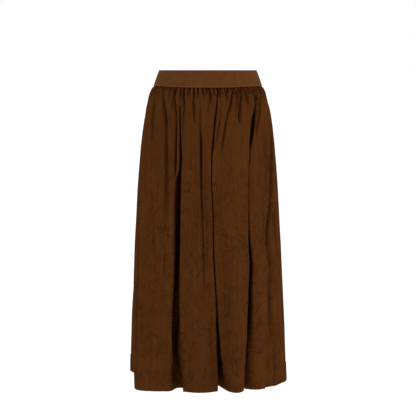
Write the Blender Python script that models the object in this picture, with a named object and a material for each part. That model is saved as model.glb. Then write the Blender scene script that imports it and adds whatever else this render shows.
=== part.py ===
"""Midi skirt: a front and a back panel gathered into a stretch waistband, each piece a closed thin wall.

Lengths are metres. +Z is up, the front faces -Y and the wearer's right hand is at -X. The origin is the
middle of the waistband, where the wearer's waist holds the skirt. A "drop" is a distance below the top of the
waistband. The cloth's plan at each drop is an envelope that touches the crests, with folds let into it.
"""

import math

import bpy
import numpy as np

# Driving sizes
LENGTH = 0.820
BAND_HEIGHT = 0.045
BAND_RISE_AT_SIDES = 0.0045
BAND_WALL = 0.0024
BAND_SEGMENTS = 76
CLOTH_WALL = 0.0014
HEM_WALL = 0.0026
HEM_TURNED_UP = 0.048
HEM_STEP = 0.0006
SEAM_GAP = 0.0003

# Gathers at the waist seam
GATHERS_EACH_PANEL = 44
COLUMNS_A_GATHER = 4
GATHER_HEIGHT = 0.0012
GATHER_STANDS_OUT = 0.0008
GATHER_WALL = 0.0016
GATHER_FADES_BY = 0.070
GATHER_DIES_INSIDE_FOLDS = 0.012
GATHER_WIDTHS = (0.70, 1.35)
GATHER_HEIGHTS = (0.60, 1.15)
GATHER_LENGTHS = (0.45, 1.00)
WAVES_ACROSS = (11, 15, 21)
WAVE_HEIGHT = 0.0022
WAVE_GROWS_BY = 0.030
WAVE_FADES_BY = 0.210
SEAM_RISE_FADES_BY = 0.100
RANDOM_START = 11

# Rows of points down a panel, as distances below the waist seam; the first few have every column
FINE_ROWS = (0.0, 0.006, 0.020, 0.042)
COARSE_ROWS = (0.066, 0.092, 0.120, 0.152, 0.190, 0.238, 0.300, 0.375, 0.455, 0.535, 0.615, 0.680)
COLUMNS_EVEN_TO = 0.020
COLUMNS_IN_FOLDS_FROM = 0.120
# The wall is laid off from the envelope near the seam and from the folded cloth itself further down
WALL_TURNS_FROM = 0.030
WALL_TURNS_BY = 0.090

# Envelope sections: drop below the band's top, reach to each side, to the front and to the back, how much
# further the left side reaches at the back, and how square each quarter is (2 is an ellipse)
SECTION_COLUMNS = (
    "drop", "left", "right", "front", "back", "flare", "front_left", "front_right", "back_right", "back_left",
)
SECTIONS = (
    (0.000, 0.1274, 0.1274, 0.094, 0.094, 0.000, 2.0, 2.0, 2.0, 2.0),
    (0.045, 0.1420, 0.1420, 0.108, 0.108, 0.000, 2.0, 2.0, 2.0, 2.0),
    (0.075, 0.1540, 0.1540, 0.117, 0.118, 0.000, 2.0, 2.0, 2.0, 2.0),
    (0.106, 0.1616, 0.1622, 0.122, 0.124, 0.000, 2.0, 2.0, 2.0, 2.1),
    (0.159, 0.1707, 0.1707, 0.126, 0.131, 0.000, 2.1, 2.0, 2.1, 2.2),
    (0.211, 0.1763, 0.1763, 0.129, 0.136, 0.000, 2.3, 2.0, 2.2, 2.4),
    (0.285, 0.1818, 0.1816, 0.133, 0.143, 0.000, 2.7, 2.0, 2.3, 2.7),
    (0.369, 0.1869, 0.1852, 0.137, 0.151, 0.000, 3.2, 2.1, 2.4, 3.1),
    (0.474, 0.1914, 0.1891, 0.141, 0.161, 0.007, 3.9, 2.1, 2.5, 4.0),
    (0.601, 0.1925, 0.1933, 0.145, 0.170, 0.016, 4.8, 2.2, 2.6, 5.6),
    (0.727, 0.1922, 0.1975, 0.148, 0.177, 0.024, 6.2, 2.2, 2.7, 7.2),
    (0.820, 0.1918, 0.2003, 0.150, 0.183, 0.030, 7.6, 2.2, 2.8, 9.0),
)
FLARE_STARTS = 0.3

# Side seams at each station: the right one lies on the front, at this share of the right side's reach, and the
# left one lies this far round behind the leftmost point
STATIONS = (0.045, 0.120, 0.285, 0.550, 0.820)
RIGHT_SEAM = (0.970, 0.965, 0.885, 0.830, 0.760)
LEFT_SEAM = (0.016, 0.020, 0.026, 0.034, 0.040)

# Deep folds. place, gap and depth are given at each station: where the mouth is across the skirt, how wide it
# stays, and how far the fold goes in. Lips and floor are round; lean moves the floor along the skirt at the hem.
DEEP_COLUMNS = ("name", "place", "gap", "depth", "lips", "floor", "lean", "columns")
FRONT_DEEP = (
    ("left_fold", (-0.0850, -0.0765, -0.0765, -0.0790, -0.0765), (0.006, 0.012, 0.013, 0.016, 0.036),
     (0.001, 0.009, 0.055, 0.078, 0.084), (0.010, 0.006), 0.012, 0.022, 15),
    ("middle_fold", (0.0270, 0.0195, 0.0120, 0.0210, 0.0370), (0.006, 0.009, 0.003, 0.004, 0.026),
     (0.001, 0.008, 0.050, 0.092, 0.118), (0.008, 0.009), 0.011, -0.016, 15),
    ("right_fold", (0.1290, 0.1190, 0.1060, 0.1090, 0.1010), (0.006, 0.010, 0.004, 0.010, 0.018),
     (0.001, 0.008, 0.010, 0.055, 0.062), (0.006, 0.016), 0.010, -0.014, 13),
)
BACK_DEEP = (
    ("back_right_fold", (0.0830, 0.0900, 0.1010, 0.1120, 0.1180), (0.006, 0.011, 0.009, 0.013, 0.022),
     (0.001, 0.008, 0.040, 0.062, 0.078), (0.009, 0.007), 0.012, -0.012, 14),
    ("back_middle_fold", (0.0160, 0.0220, 0.0280, 0.0330, 0.0290), (0.006, 0.010, 0.006, 0.010, 0.020),
     (0.001, 0.008, 0.052, 0.086, 0.104), (0.008, 0.010), 0.012, 0.012, 15),
    ("back_left_fold", (-0.0640, -0.0620, -0.0640, -0.0740, -0.0860), (0.006, 0.010, 0.008, 0.014, 0.028),
     (0.001, 0.008, 0.036, 0.070, 0.096), (0.011, 0.007), 0.013, -0.010, 15),
)
# A fold is a plain valley up to the first depth and has its full lean and round floor from the second
UNDERCUT_FROM = 0.018
UNDERCUT_BY = 0.062
# How far each stretch between deep folds bows out at the hem, and how many columns it has
FRONT_STRETCHES = ((0.000, 16), (0.024, 12), (0.030, 7), (0.004, 10))
BACK_STRETCHES = ((0.008, 16), (0.018, 9), (0.016, 9), (0.012, 10))

# Soft folds: place across and drop where each starts and ends, and its depth and half width at the deepest
SOFT_COLUMNS = ("start", "start_drop", "end", "end_drop", "depth", "half_width", "deepest")
FRONT_SOFT = (
    (-0.137, 0.046, -0.143, 0.165, 0.0035, 0.008, 0.35),
    (-0.117, 0.046, -0.105, 0.420, 0.0120, 0.012, 0.20),
    (-0.062, 0.046, -0.064, 0.185, 0.0040, 0.008, 0.40),
    (-0.036, 0.046, -0.035, 0.150, 0.0040, 0.007, 0.40),
    (-0.020, 0.060, -0.010, 0.580, 0.0055, 0.009, 0.30),
    (0.036, 0.060, 0.019, 0.210, 0.0050, 0.008, 0.45),
    (0.066, 0.046, 0.038, 0.220, 0.0085, 0.009, 0.40),
    (0.087, 0.046, 0.080, 0.150, 0.0060, 0.007, 0.45),
    (0.139, 0.046, 0.122, 0.200, 0.0045, 0.008, 0.40),
    (-0.144, 0.200, -0.146, 0.520, 0.0030, 0.012, 0.50),
    (-0.110, 0.400, -0.132, 0.800, 0.0040, 0.022, 0.60),
    (-0.030, 0.400, -0.020, 0.830, 0.0030, 0.018, 0.70),
    (0.070, 0.300, 0.068, 0.700, 0.0030, 0.014, 0.50),
    (0.137, 0.330, 0.143, 0.700, 0.0040, 0.012, 0.60),
    (0.012, 0.500, 0.014, 1.100, 0.0140, 0.022, 0.50),
)
BACK_SOFT = (
    (0.118, 0.046, 0.128, 0.260, 0.0080, 0.010, 0.30),
    (0.060, 0.046, 0.052, 0.200, 0.0060, 0.008, 0.40),
    (0.038, 0.046, 0.036, 0.160, 0.0045, 0.006, 0.45),
    (-0.010, 0.046, -0.016, 0.430, 0.0075, 0.010, 0.30),
    (-0.036, 0.046, -0.040, 0.190, 0.0050, 0.007, 0.45),
    (-0.092, 0.046, -0.102, 0.240, 0.0080, 0.009, 0.35),
    (-0.118, 0.046, -0.132, 0.170, 0.0045, 0.007, 0.45),
    (-0.020, 0.350, -0.024, 0.800, 0.0040, 0.020, 0.60),
    (-0.150, 0.300, -0.146, 0.780, 0.0050, 0.020, 0.60),
    (0.158, 0.260, 0.160, 0.800, 0.0060, 0.020, 0.60),
)
# The side seams hang in a soft hollow: its depth at the hem and half width
LEFT_SEAM_HOLLOW = (0.004, 0.050)
RIGHT_SEAM_HOLLOW = (0.016, 0.034)
HOLLOW_STARTS = 0.240

CLOTH_COLOUR = (0.083, 0.029, 0.0075, 1.0)
BAND_COLOUR = (0.105, 0.041, 0.0125, 1.0)
CLOTH_ROUGHNESS = 0.72
BAND_ROUGHNESS = 0.85

ENVELOPE_POINTS = 1600
STRETCH_POINTS = 60
FOLD_ARC_POINTS = 14
TURN_COST = 0.012
SAMPLES_A_COLUMN = 8
FRAME_REACH = 0.002
RADII_MARGIN = 0.96
SMOOTH_UP_TO = math.radians(50.0)


def smooth_step(value):
    """0 to 1 with level ends."""
    held = np.clip(value, 0.0, 1.0)
    return held * held * (3.0 - 2.0 * held)


def smooth_table(at, places, values):
    """Monotone cubic through a short table, level with its end values outside it."""
    places = np.asarray(places, float)
    values = np.asarray(values, float)
    steps = np.diff(places)
    slopes = np.diff(values) / steps
    tangents = np.zeros(len(values))
    same_way = slopes[:-1] * slopes[1:] > 0.0
    joined = 2.0 * slopes[:-1] * slopes[1:] / np.where(same_way, slopes[:-1] + slopes[1:], 1.0)
    tangents[1:-1] = np.where(same_way, joined, 0.0)
    tangents[0] = slopes[0]
    tangents[-1] = slopes[-1]
    at = np.clip(at, places[0], places[-1])
    index = np.clip(np.searchsorted(places, at, side="right") - 1, 0, len(steps) - 1)
    share = (at - places[index]) / steps[index]
    low = values[index]
    high = values[index + 1]
    rise_low = tangents[index] * steps[index]
    rise_high = tangents[index + 1] * steps[index]
    cubed = share**3
    squared = share**2
    return (
        (2 * cubed - 3 * squared + 1) * low
        + (cubed - 2 * squared + share) * rise_low
        + (3 * squared - 2 * cubed) * high
        + (cubed - squared) * rise_high
    )


def section_value(drop, column):
    rows = np.array(SECTIONS)
    return float(smooth_table(drop, rows[:, 0], rows[:, SECTION_COLUMNS.index(column)]))


class Envelope:
    """The closed plan curve that touches the crests at one drop, by distance along it from the left seam."""

    def __init__(self, drop):
        self.drop = drop
        turn = np.linspace(0.0, 2.0 * math.pi, ENVELOPE_POINTS + 1)
        across = -np.cos(turn)
        along = -np.sin(turn)
        flare = section_value(drop, "flare") * smooth_step((along - FLARE_STARTS) / (1.0 - FLARE_STARTS))
        side = np.where(across < 0.0, section_value(drop, "left") + flare, section_value(drop, "right"))
        reach = np.where(along < 0.0, section_value(drop, "front"), section_value(drop, "back"))
        on_left = across < 0.0
        in_front = np.where(on_left, section_value(drop, "front_left"), section_value(drop, "front_right"))
        behind = np.where(on_left, section_value(drop, "back_left"), section_value(drop, "back_right"))
        square = np.where(along < 0.0, in_front, behind)
        radius = (np.abs(across / side) ** square + np.abs(along / reach) ** square) ** (-1.0 / square)
        points = np.column_stack((across * radius, along * radius))
        front_end = ENVELOPE_POINTS // 2
        lengths = np.concatenate(([0.0], np.cumsum(np.hypot(*np.diff(points, axis=0).T))))
        leftmost = front_end + int(np.argmin(points[front_end:, 0]))
        back = slice(front_end, leftmost + 1)
        right_x = station_value(drop, RIGHT_SEAM) * section_value(drop, "right")
        self.round = lengths[-1]
        self.points = points[:-1]
        self.lengths = lengths[:-1]
        self.start = self.round - station_value(drop, LEFT_SEAM)
        self.front_points = points[: front_end + 1]
        self.front_lengths = lengths[: front_end + 1]
        self.back_points = points[back]
        self.back_lengths = lengths[back]
        self.front_length = self.place(right_x, True)

    def place(self, across, on_front):
        """Distance from the left seam, through the front, of the point this far across."""
        if on_front:
            length = np.interp(across, self.front_points[:, 0], self.front_lengths)
        else:
            length = np.interp(-across, -self.back_points[:, 0], self.back_lengths)
        return (length - self.start) % self.round

    def point(self, distance):
        at = (np.asarray(distance) + self.start) % self.round
        both = [np.interp(at, self.lengths, self.points[:, k], period=self.round) for k in (0, 1)]
        return np.column_stack(both)

    def frame(self, distance):
        """Point, direction of travel and outward normal."""
        ahead = self.point(distance + FRAME_REACH)
        behind = self.point(distance - FRAME_REACH)
        travel = ahead - behind
        travel /= np.linalg.norm(travel, axis=1)[:, None]
        outward = np.column_stack((travel[:, 1], -travel[:, 0]))
        return self.point(distance), travel, outward


def scale_for_radii(half_gap, depth, lip, floor):
    """How far both radii must shrink for a straight wall to fit between a lip and the floor."""
    reach = depth * (floor + lip) - half_gap * lip
    inside = reach**2 - lip**2 * (half_gap**2 + depth**2)
    if inside <= 0.0 or reach <= 0.0:
        return 1.0
    return min(1.0, RADII_MARGIN * (reach - math.sqrt(inside)) / lip**2)


def wall_angle(across, down, lip, floor):
    """Steepness and length of the wall that touches the lip's circle and the floor's circle."""
    length = math.sqrt(max(across**2 + down**2 - (lip + floor) ** 2, 0.0))
    return math.atan2(lip + floor, length) - math.atan2(down, across), length


def fold_section(gap, depth, lips, floor, lean):
    """Along and inward positions down one wall, round the floor and up the other, with each lip's reach."""
    undercut = float(smooth_step((depth - UNDERCUT_FROM) / (UNDERCUT_BY - UNDERCUT_FROM)))
    lean = lean * undercut
    floor = gap / 2 + (floor - gap / 2) * undercut
    shrink = min(
        scale_for_radii(gap / 2 + lean, depth, lips[0], floor),
        scale_for_radii(gap / 2 - lean, depth, lips[1], floor),
    )
    left_lip = lips[0] * shrink
    right_lip = lips[1] * shrink
    floor = floor * shrink
    left_reach = gap / 2 + left_lip
    right_reach = gap / 2 + right_lip
    left_angle, left_wall = wall_angle(left_reach + lean, -(depth - floor - left_lip), left_lip, floor)
    right_angle, right_wall = wall_angle(right_reach - lean, -(depth - floor - right_lip), right_lip, floor)
    left_arc = np.linspace(0.0, left_angle, FOLD_ARC_POINTS)
    floor_arc = np.linspace(-left_angle, right_angle, 2 * FOLD_ARC_POINTS)
    right_arc = np.linspace(right_angle, 0.0, FOLD_ARC_POINTS)
    along = np.concatenate(
        (
            -left_reach + left_lip * np.sin(left_arc),
            lean + floor * np.sin(floor_arc),
            right_reach - right_lip * np.sin(right_arc),
        )
    )
    inward = np.concatenate(
        (
            -left_lip + left_lip * np.cos(left_arc),
            -(depth - floor) - floor * np.cos(floor_arc),
            -right_lip + right_lip * np.cos(right_arc),
        )
    )
    return along, inward, left_reach, right_reach


def spread(points, outward, distance, count):
    """Points spaced evenly by length plus a cost for turning, so that round places get more of them."""
    steps = np.diff(points, axis=0)
    lengths = np.hypot(*steps.T)
    heading = np.unwrap(np.arctan2(steps[:, 1], steps[:, 0]))
    turning = np.abs(np.gradient(heading))
    cost = np.concatenate(([0.0], np.cumsum(lengths + TURN_COST * turning + 1e-9)))
    at = np.linspace(0.0, cost[-1], count + 1)
    sampled = [np.interp(at, cost, points[:, k]) for k in (0, 1)]
    more = [np.interp(at, cost, outward[:, k]) for k in (0, 1)]
    if len(distance) == len(points):
        more.append(np.interp(at, cost, distance))
    else:
        more.append(np.linspace(distance[0], distance[-1], count + 1))
    return np.column_stack(sampled), np.column_stack(more)


def soft_amount(envelope, distance, rows, on_front):
    """How far the soft folds of a panel draw its cloth in at these distances."""
    drawn = np.zeros(len(distance))
    for row in rows:
        fold = dict(zip(SOFT_COLUMNS, row))
        share = (envelope.drop - fold["start_drop"]) / (fold["end_drop"] - fold["start_drop"])
        if not 0.0 <= share <= 1.0:
            continue
        growing = smooth_step(share / fold["deepest"])
        fading = smooth_step((1.0 - share) / (1.0 - fold["deepest"]))
        across = fold["start"] + (fold["end"] - fold["start"]) * share
        away = (distance - envelope.place(across, on_front)) / fold["half_width"]
        drawn += fold["depth"] * growing * fading * np.exp(-(away**2))
    return drawn


def seam_hollows(envelope, distance):
    """How far the cloth is drawn in towards the side seams."""
    growing = float(smooth_step((envelope.drop - HOLLOW_STARTS) / (LENGTH - HOLLOW_STARTS)))
    drawn = np.zeros(len(distance))
    for seam, (depth, half_width) in ((0.0, LEFT_SEAM_HOLLOW), (envelope.front_length, RIGHT_SEAM_HOLLOW)):
        away = (distance - seam + envelope.round / 2) % envelope.round - envelope.round / 2
        drawn += depth * growing * np.exp(-((away / half_width) ** 2))
    return drawn


def crest_bows(drop, distance, centres, bows):
    """How far each crest stands out from the envelope between the middles of the folds beside it."""
    growing = float(smooth_step((drop - STATIONS[1]) / (LENGTH - STATIONS[1])))
    out = np.zeros(len(distance))
    for first, last, bow in zip(centres, centres[1:], bows):
        share = np.clip((distance - first) / (last - first), 0.0, 1.0)
        out += bow * growing * np.sin(math.pi * share) ** 2
    return out


def station_value(drop, values):
    return float(smooth_table(drop, STATIONS, values))


def panel_curve(envelope, on_front):
    """The panel's plan at one drop, as points, outward normals of the envelope, and column numbers.

    Each deep fold and each stretch between two of them has its own share of columns at every drop.
    """
    drop = envelope.drop
    deep = FRONT_DEEP if on_front else BACK_DEEP
    stretches = FRONT_STRETCHES if on_front else BACK_STRETCHES
    soft = FRONT_SOFT if on_front else BACK_SOFT
    begin = SEAM_GAP / 2 if on_front else envelope.front_length + SEAM_GAP / 2
    end = (envelope.front_length if on_front else envelope.round) - SEAM_GAP / 2
    pieces = []
    folds = []
    for row in deep:
        fold = dict(zip(DEEP_COLUMNS, row))
        depth = station_value(drop, fold["depth"])
        gap = station_value(drop, fold["gap"])
        section = fold_section(gap, depth, fold["lips"], fold["floor"], fold["lean"])
        centre = float(envelope.place(station_value(drop, fold["place"]), on_front))
        folds.append((centre, depth, section, fold["columns"]))
    edges = [begin]
    for centre, _, (_, _, left_reach, right_reach), _ in folds:
        edges.extend((centre - left_reach, centre + right_reach))
    edges.append(end)
    centres = [begin] + [centre for centre, _, _, _ in folds] + [end]
    bows = [bow for bow, _ in stretches]

    def standing_out(distance):
        """How far the cloth bows out between deep folds, less what soft folds and seams draw in."""
        drawn = soft_amount(envelope, distance, soft, on_front) + seam_hollows(envelope, distance)
        return crest_bows(drop, distance, centres, bows) - drawn

    for number, (_, columns) in enumerate(stretches):
        first, last = edges[2 * number], edges[2 * number + 1]
        share = np.linspace(0.0, 1.0, STRETCH_POINTS)
        distance = first + (last - first) * share
        at, _, outward = envelope.frame(distance)
        pieces.append((at + outward * standing_out(distance)[:, None], outward, distance, columns))
        if number < len(folds):
            centre, depth, (along, inward, left_reach, right_reach), columns = folds[number]
            held = np.clip(along, -left_reach, right_reach)
            distance = centre + held
            at, _, outward = envelope.frame(distance)
            _, middle_travel, middle_outward = envelope.frame(np.array([centre]))
            points = (
                at
                + middle_outward * inward[:, None]
                + middle_travel * (along - held)[:, None]
                + outward * standing_out(distance)[:, None]
            )
            pieces.append((points, outward, np.array([centre - left_reach, centre + right_reach]), columns))
    return pieces


def sampled_curve(envelope, on_front):
    """Dense points of the whole panel with, for each, its column number and its distance along the envelope."""
    all_points, all_extra, numbers = [], [], []
    first = 0
    for points, outward, distance, columns in panel_curve(envelope, on_front):
        fine = columns * SAMPLES_A_COLUMN
        spaced, more = spread(points, outward, distance, fine)
        keep = slice(None) if first == 0 else slice(1, None)
        all_points.append(spaced[keep])
        all_extra.append(more[keep])
        numbers.append((first + np.linspace(0, columns, fine + 1))[keep])
        first += columns
    return np.concatenate(all_points), np.concatenate(all_extra), np.concatenate(numbers)


def gather_places(on_front):
    """Share of the panel's width at each quarter of a gather: gathers are uneven in width."""
    chance = np.random.default_rng(RANDOM_START + on_front)
    widths = chance.uniform(*GATHER_WIDTHS, GATHERS_EACH_PANEL)
    ends = np.concatenate(([0.0], np.cumsum(widths))) / widths.sum()
    quarters = np.arange(GATHERS_EACH_PANEL * COLUMNS_A_GATHER + 1) / COLUMNS_A_GATHER
    heights = chance.uniform(*GATHER_HEIGHTS, GATHERS_EACH_PANEL)
    lengths = chance.uniform(*GATHER_LENGTHS, GATHERS_EACH_PANEL)
    phases = chance.uniform(0.0, 2.0 * math.pi, len(WAVES_ACROSS))
    return np.interp(quarters, np.arange(GATHERS_EACH_PANEL + 1), ends), quarters, heights, lengths, phases


def gather_amount(share, quarters, heights, lengths, phases, below):
    """How far gathers and the wider waves that they run into stand out, this far below the seam."""
    index = np.clip(quarters.astype(int), 0, GATHERS_EACH_PANEL - 1)
    fade = 1.0 - smooth_step(below / (GATHER_FADES_BY * lengths[index]))
    crimp = GATHER_HEIGHT * heights[index] * np.sin(2.0 * math.pi * quarters) * fade
    swell = float(smooth_step(below / WAVE_GROWS_BY) * (1.0 - smooth_step(below / WAVE_FADES_BY)))
    waves = sum(np.sin(2.0 * math.pi * many * share + phase) for many, phase in zip(WAVES_ACROSS, phases))
    lift = GATHER_STANDS_OUT * (1.0 - float(smooth_step(below / GATHER_FADES_BY)))
    return lift + crimp + WAVE_HEIGHT / len(WAVES_ACROSS) * waves * swell


def seam_drop(points):
    """The waist seam is level in front and behind, and rises a little to the sides."""
    return BAND_HEIGHT - BAND_RISE_AT_SIDES * (points[:, 0] / np.abs(points[:, 0]).max()) ** 2


def panel_row(below, fine, on_front, gathers):
    """Outer points, inner points (two where the hem's edge lies) and drops of one row of columns."""
    envelope = Envelope(BAND_HEIGHT + below)
    points, extra, numbers = sampled_curve(envelope, on_front)
    outward, distance = extra[:, :2], extra[:, 2]
    places, quarters, heights, lengths, phases = gathers
    if not fine:
        places, quarters = places[::2], quarters[::2]
    width = distance[-1] - distance[0]
    even = np.interp(distance[0] + places * width, distance, numbers)
    in_folds = np.linspace(0.0, numbers[-1], len(places))
    amount = float(smooth_step((below - COLUMNS_EVEN_TO) / (COLUMNS_IN_FOLDS_FROM - COLUMNS_EVEN_TO)))
    at = even * (1.0 - amount) + in_folds * amount
    row = np.column_stack([np.interp(at, numbers, points[:, k]) for k in (0, 1)])
    out = np.column_stack([np.interp(at, numbers, outward[:, k]) for k in (0, 1)])
    out /= np.linalg.norm(out, axis=1)[:, None]
    share = (np.interp(at, numbers, distance) - distance[0]) / width
    steps = np.diff(row, axis=0)
    steps /= np.linalg.norm(steps, axis=1)[:, None]
    travel = np.concatenate((steps[:1], steps[:-1] + steps[1:], steps[-1:]))
    travel /= np.linalg.norm(travel, axis=1)[:, None]
    true_out = np.column_stack((travel[:, 1], -travel[:, 0]))
    true_out[[0, -1]] = out[[0, -1]]
    by_wave = 1.0 - float(smooth_step((below - WALL_TURNS_FROM) / (WALL_TURNS_BY - WALL_TURNS_FROM)))
    wall_way = out * by_wave + true_out * (1.0 - by_wave)
    wall_way /= np.linalg.norm(wall_way, axis=1)[:, None]
    on_envelope = envelope.point(np.interp(at, numbers, distance))
    inside = np.abs(((row - on_envelope) * out).sum(axis=1))
    stand = gather_amount(share, quarters, heights, lengths, phases, below)
    row = row + wall_way * (stand * np.exp(-inside / GATHER_DIES_INSIDE_FOLDS))[:, None]
    rise = (BAND_HEIGHT - seam_drop(row)) * (1.0 - smooth_step(below / SEAM_RISE_FADES_BY))
    return row, wall_way, BAND_HEIGHT + below - rise


def in_space(plan, drops):
    return np.column_stack((plan, BAND_HEIGHT / 2 - drops))


def strip(upper, lower):
    """Triangles between two rows of vertex numbers, the lower one having as many columns or half as many."""
    faces = []
    if len(upper) == len(lower):
        for k in range(len(upper) - 1):
            faces.append((upper[k], lower[k], lower[k + 1]))
            faces.append((upper[k], lower[k + 1], upper[k + 1]))
        return faces
    for k in range(len(lower) - 1):
        faces.append((upper[2 * k], lower[k], upper[2 * k + 1]))
        faces.append((upper[2 * k + 1], lower[k], lower[k + 1]))
        faces.append((upper[2 * k + 1], lower[k + 1], upper[2 * k + 2]))
    return faces


def build_mesh(name, vertices, faces, colour, roughness):
    mesh = bpy.data.meshes.new(name)
    mesh.from_pydata([tuple(vertex) for vertex in vertices], [], faces)
    mesh.validate()
    mesh.shade_smooth()
    mesh.set_sharp_from_angle(angle=SMOOTH_UP_TO)
    material = bpy.data.materials.new(name)
    material.use_nodes = True
    shader = material.node_tree.nodes["Principled BSDF"]
    shader.inputs["Base Color"].default_value = colour
    shader.inputs["Roughness"].default_value = roughness
    shader.inputs["Metallic"].default_value = 0.0
    mesh.materials.append(material)
    made = bpy.data.objects.new(name, mesh)
    bpy.context.scene.collection.objects.link(made)
    return made


def panel(name, on_front):
    """One gathered panel: outer and inner walls, closed along the waist seam, the side seams and the hem."""
    gathers = gather_places(on_front)
    hem_top = LENGTH - BAND_HEIGHT - HEM_TURNED_UP
    hem = LENGTH - BAND_HEIGHT
    coarse = COARSE_ROWS + (hem_top, hem)
    vertices = []
    outer_rows = []
    inner_rows = []

    def keep(points):
        first = len(vertices)
        vertices.extend(points)
        return list(range(first, first + len(points)))

    for below in FINE_ROWS + coarse:
        plan, way, drops = panel_row(below, below in FINE_ROWS, on_front, gathers)
        drops = drops + (SEAM_GAP if below == 0.0 else 0.0)
        wall = GATHER_WALL + (CLOTH_WALL - GATHER_WALL) * float(smooth_step(below / GATHER_FADES_BY))
        outer_rows.append(keep(in_space(plan, drops)))
        if below < hem:
            inner_rows.append(keep(in_space(plan - way * wall, drops)))
        if below >= hem_top:
            step = HEM_STEP if below == hem_top else 0.0
            inner_rows.append(keep(in_space(plan - way * HEM_WALL, drops + step)))
    faces = []
    for upper, lower in zip(outer_rows, outer_rows[1:]):
        faces.extend(strip(upper, lower))
    for upper, lower in zip(inner_rows, inner_rows[1:]):
        faces.extend(face[::-1] for face in strip(upper, lower))
    faces.extend(strip(inner_rows[0], outer_rows[0]))
    faces.extend(strip(outer_rows[-1], inner_rows[-1]))
    for column, flip in ((0, False), (-1, True)):
        faces.extend(side_edge(outer_rows, inner_rows, column, flip))
    return build_mesh(name, vertices, faces, CLOTH_COLOUR, CLOTH_ROUGHNESS)


def side_edge(outer_rows, inner_rows, column, flip):
    """Triangles that close a panel along a side seam; the inner wall has one row more, at the hem's top."""
    outer = [row[column] for row in outer_rows]
    inner = [row[column] for row in inner_rows]
    outer.insert(len(outer) - 1, outer[-2])
    faces = []
    for k in range(len(outer) - 1):
        if outer[k] != outer[k + 1]:
            faces.append((inner[k], outer[k + 1], outer[k]))
        faces.append((inner[k], inner[k + 1], outer[k + 1]))
    return [face[::-1] for face in faces] if flip else faces


def waistband():
    """The closed stretch band: a ring 45 mm tall that widens downwards with the waist."""
    levels = (0.0, 0.5, 1.0)
    vertices = []
    outer = []
    inner = []
    shares = np.arange(BAND_SEGMENTS) / BAND_SEGMENTS
    for level in levels:
        plan_envelope = Envelope(BAND_HEIGHT * level)
        at, _, outward = plan_envelope.frame(shares * plan_envelope.round)
        drops = level * seam_drop(at)
        for rows, wall in ((outer, 0.0), (inner, BAND_WALL)):
            first = len(vertices)
            vertices.extend(in_space(at - outward * wall, drops))
            rows.append(list(range(first, first + BAND_SEGMENTS)) + [first])
    inner = [inner[0], inner[-1]]
    faces = []
    for upper, lower in zip(outer, outer[1:]):
        faces.extend(strip(upper, lower))
    faces.extend(face[::-1] for face in strip(inner[0], inner[1]))
    faces.extend(strip(inner[0], outer[0]))
    faces.extend(strip(outer[-1], inner[-1]))
    used = sorted({corner for face in faces for corner in face})
    renumbered = {old: new for new, old in enumerate(used)}
    faces = [tuple(renumbered[corner] for corner in face) for face in faces]
    return build_mesh("waistband", [vertices[old] for old in used], faces, BAND_COLOUR, BAND_ROUGHNESS)


def main():
    for startup_object in list(bpy.data.objects):
        bpy.data.objects.remove(startup_object, do_unlink=True)
    waistband()
    panel("front_panel", True)
    panel("back_panel", False)


main()
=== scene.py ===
import math

import bpy
import numpy as np
from bpy.props import FloatProperty, FloatVectorProperty, PointerProperty
from bpy.types import Operator, Panel, PropertyGroup
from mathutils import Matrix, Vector


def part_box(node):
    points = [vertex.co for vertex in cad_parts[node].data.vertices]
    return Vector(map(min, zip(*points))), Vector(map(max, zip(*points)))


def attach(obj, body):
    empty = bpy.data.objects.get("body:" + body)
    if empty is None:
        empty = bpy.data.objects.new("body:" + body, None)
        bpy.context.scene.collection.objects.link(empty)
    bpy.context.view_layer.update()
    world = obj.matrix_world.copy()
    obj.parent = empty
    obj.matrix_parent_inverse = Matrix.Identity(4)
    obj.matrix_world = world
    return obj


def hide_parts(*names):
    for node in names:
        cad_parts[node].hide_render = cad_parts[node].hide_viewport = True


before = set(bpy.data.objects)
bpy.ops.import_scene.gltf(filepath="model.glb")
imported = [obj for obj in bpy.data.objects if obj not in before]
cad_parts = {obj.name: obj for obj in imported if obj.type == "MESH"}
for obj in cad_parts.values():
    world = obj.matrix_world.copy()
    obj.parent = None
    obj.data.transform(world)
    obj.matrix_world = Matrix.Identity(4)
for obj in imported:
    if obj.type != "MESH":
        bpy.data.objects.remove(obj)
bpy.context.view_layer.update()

bl_info = {
    "name": "Gathered midi skirt",
    "version": (1, 0, 0),
    "blender": (4, 5, 0),
    "location": "View3D > Sidebar > Skirt",
    "description": "Makes the cloth, the stretch waistband and the stitches of a gathered midi skirt",
    "category": "Object",
}

BAND_LOW, BAND_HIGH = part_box("waistband")
BAND_HEIGHT = BAND_HIGH[2] - BAND_LOW[2]
TOP = BAND_HIGH[2]
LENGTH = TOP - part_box("front_panel")[0][2]
# The band sits higher at its sides, and its seam with the panels too
BAND_RISE_AT_SIDES = 0.0045
SEAM_RISE_FADES_BY = 0.100
# The painted highlight along the band's lower edge, over the seam bead: (where it begins, where it is full) above
# that edge
BEAD_HIGHLIGHT_EDGE = (0.0048, 0.0036)
HEM_TURNED_UP = 0.048
HEM_LINE = LENGTH - HEM_TURNED_UP

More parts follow.
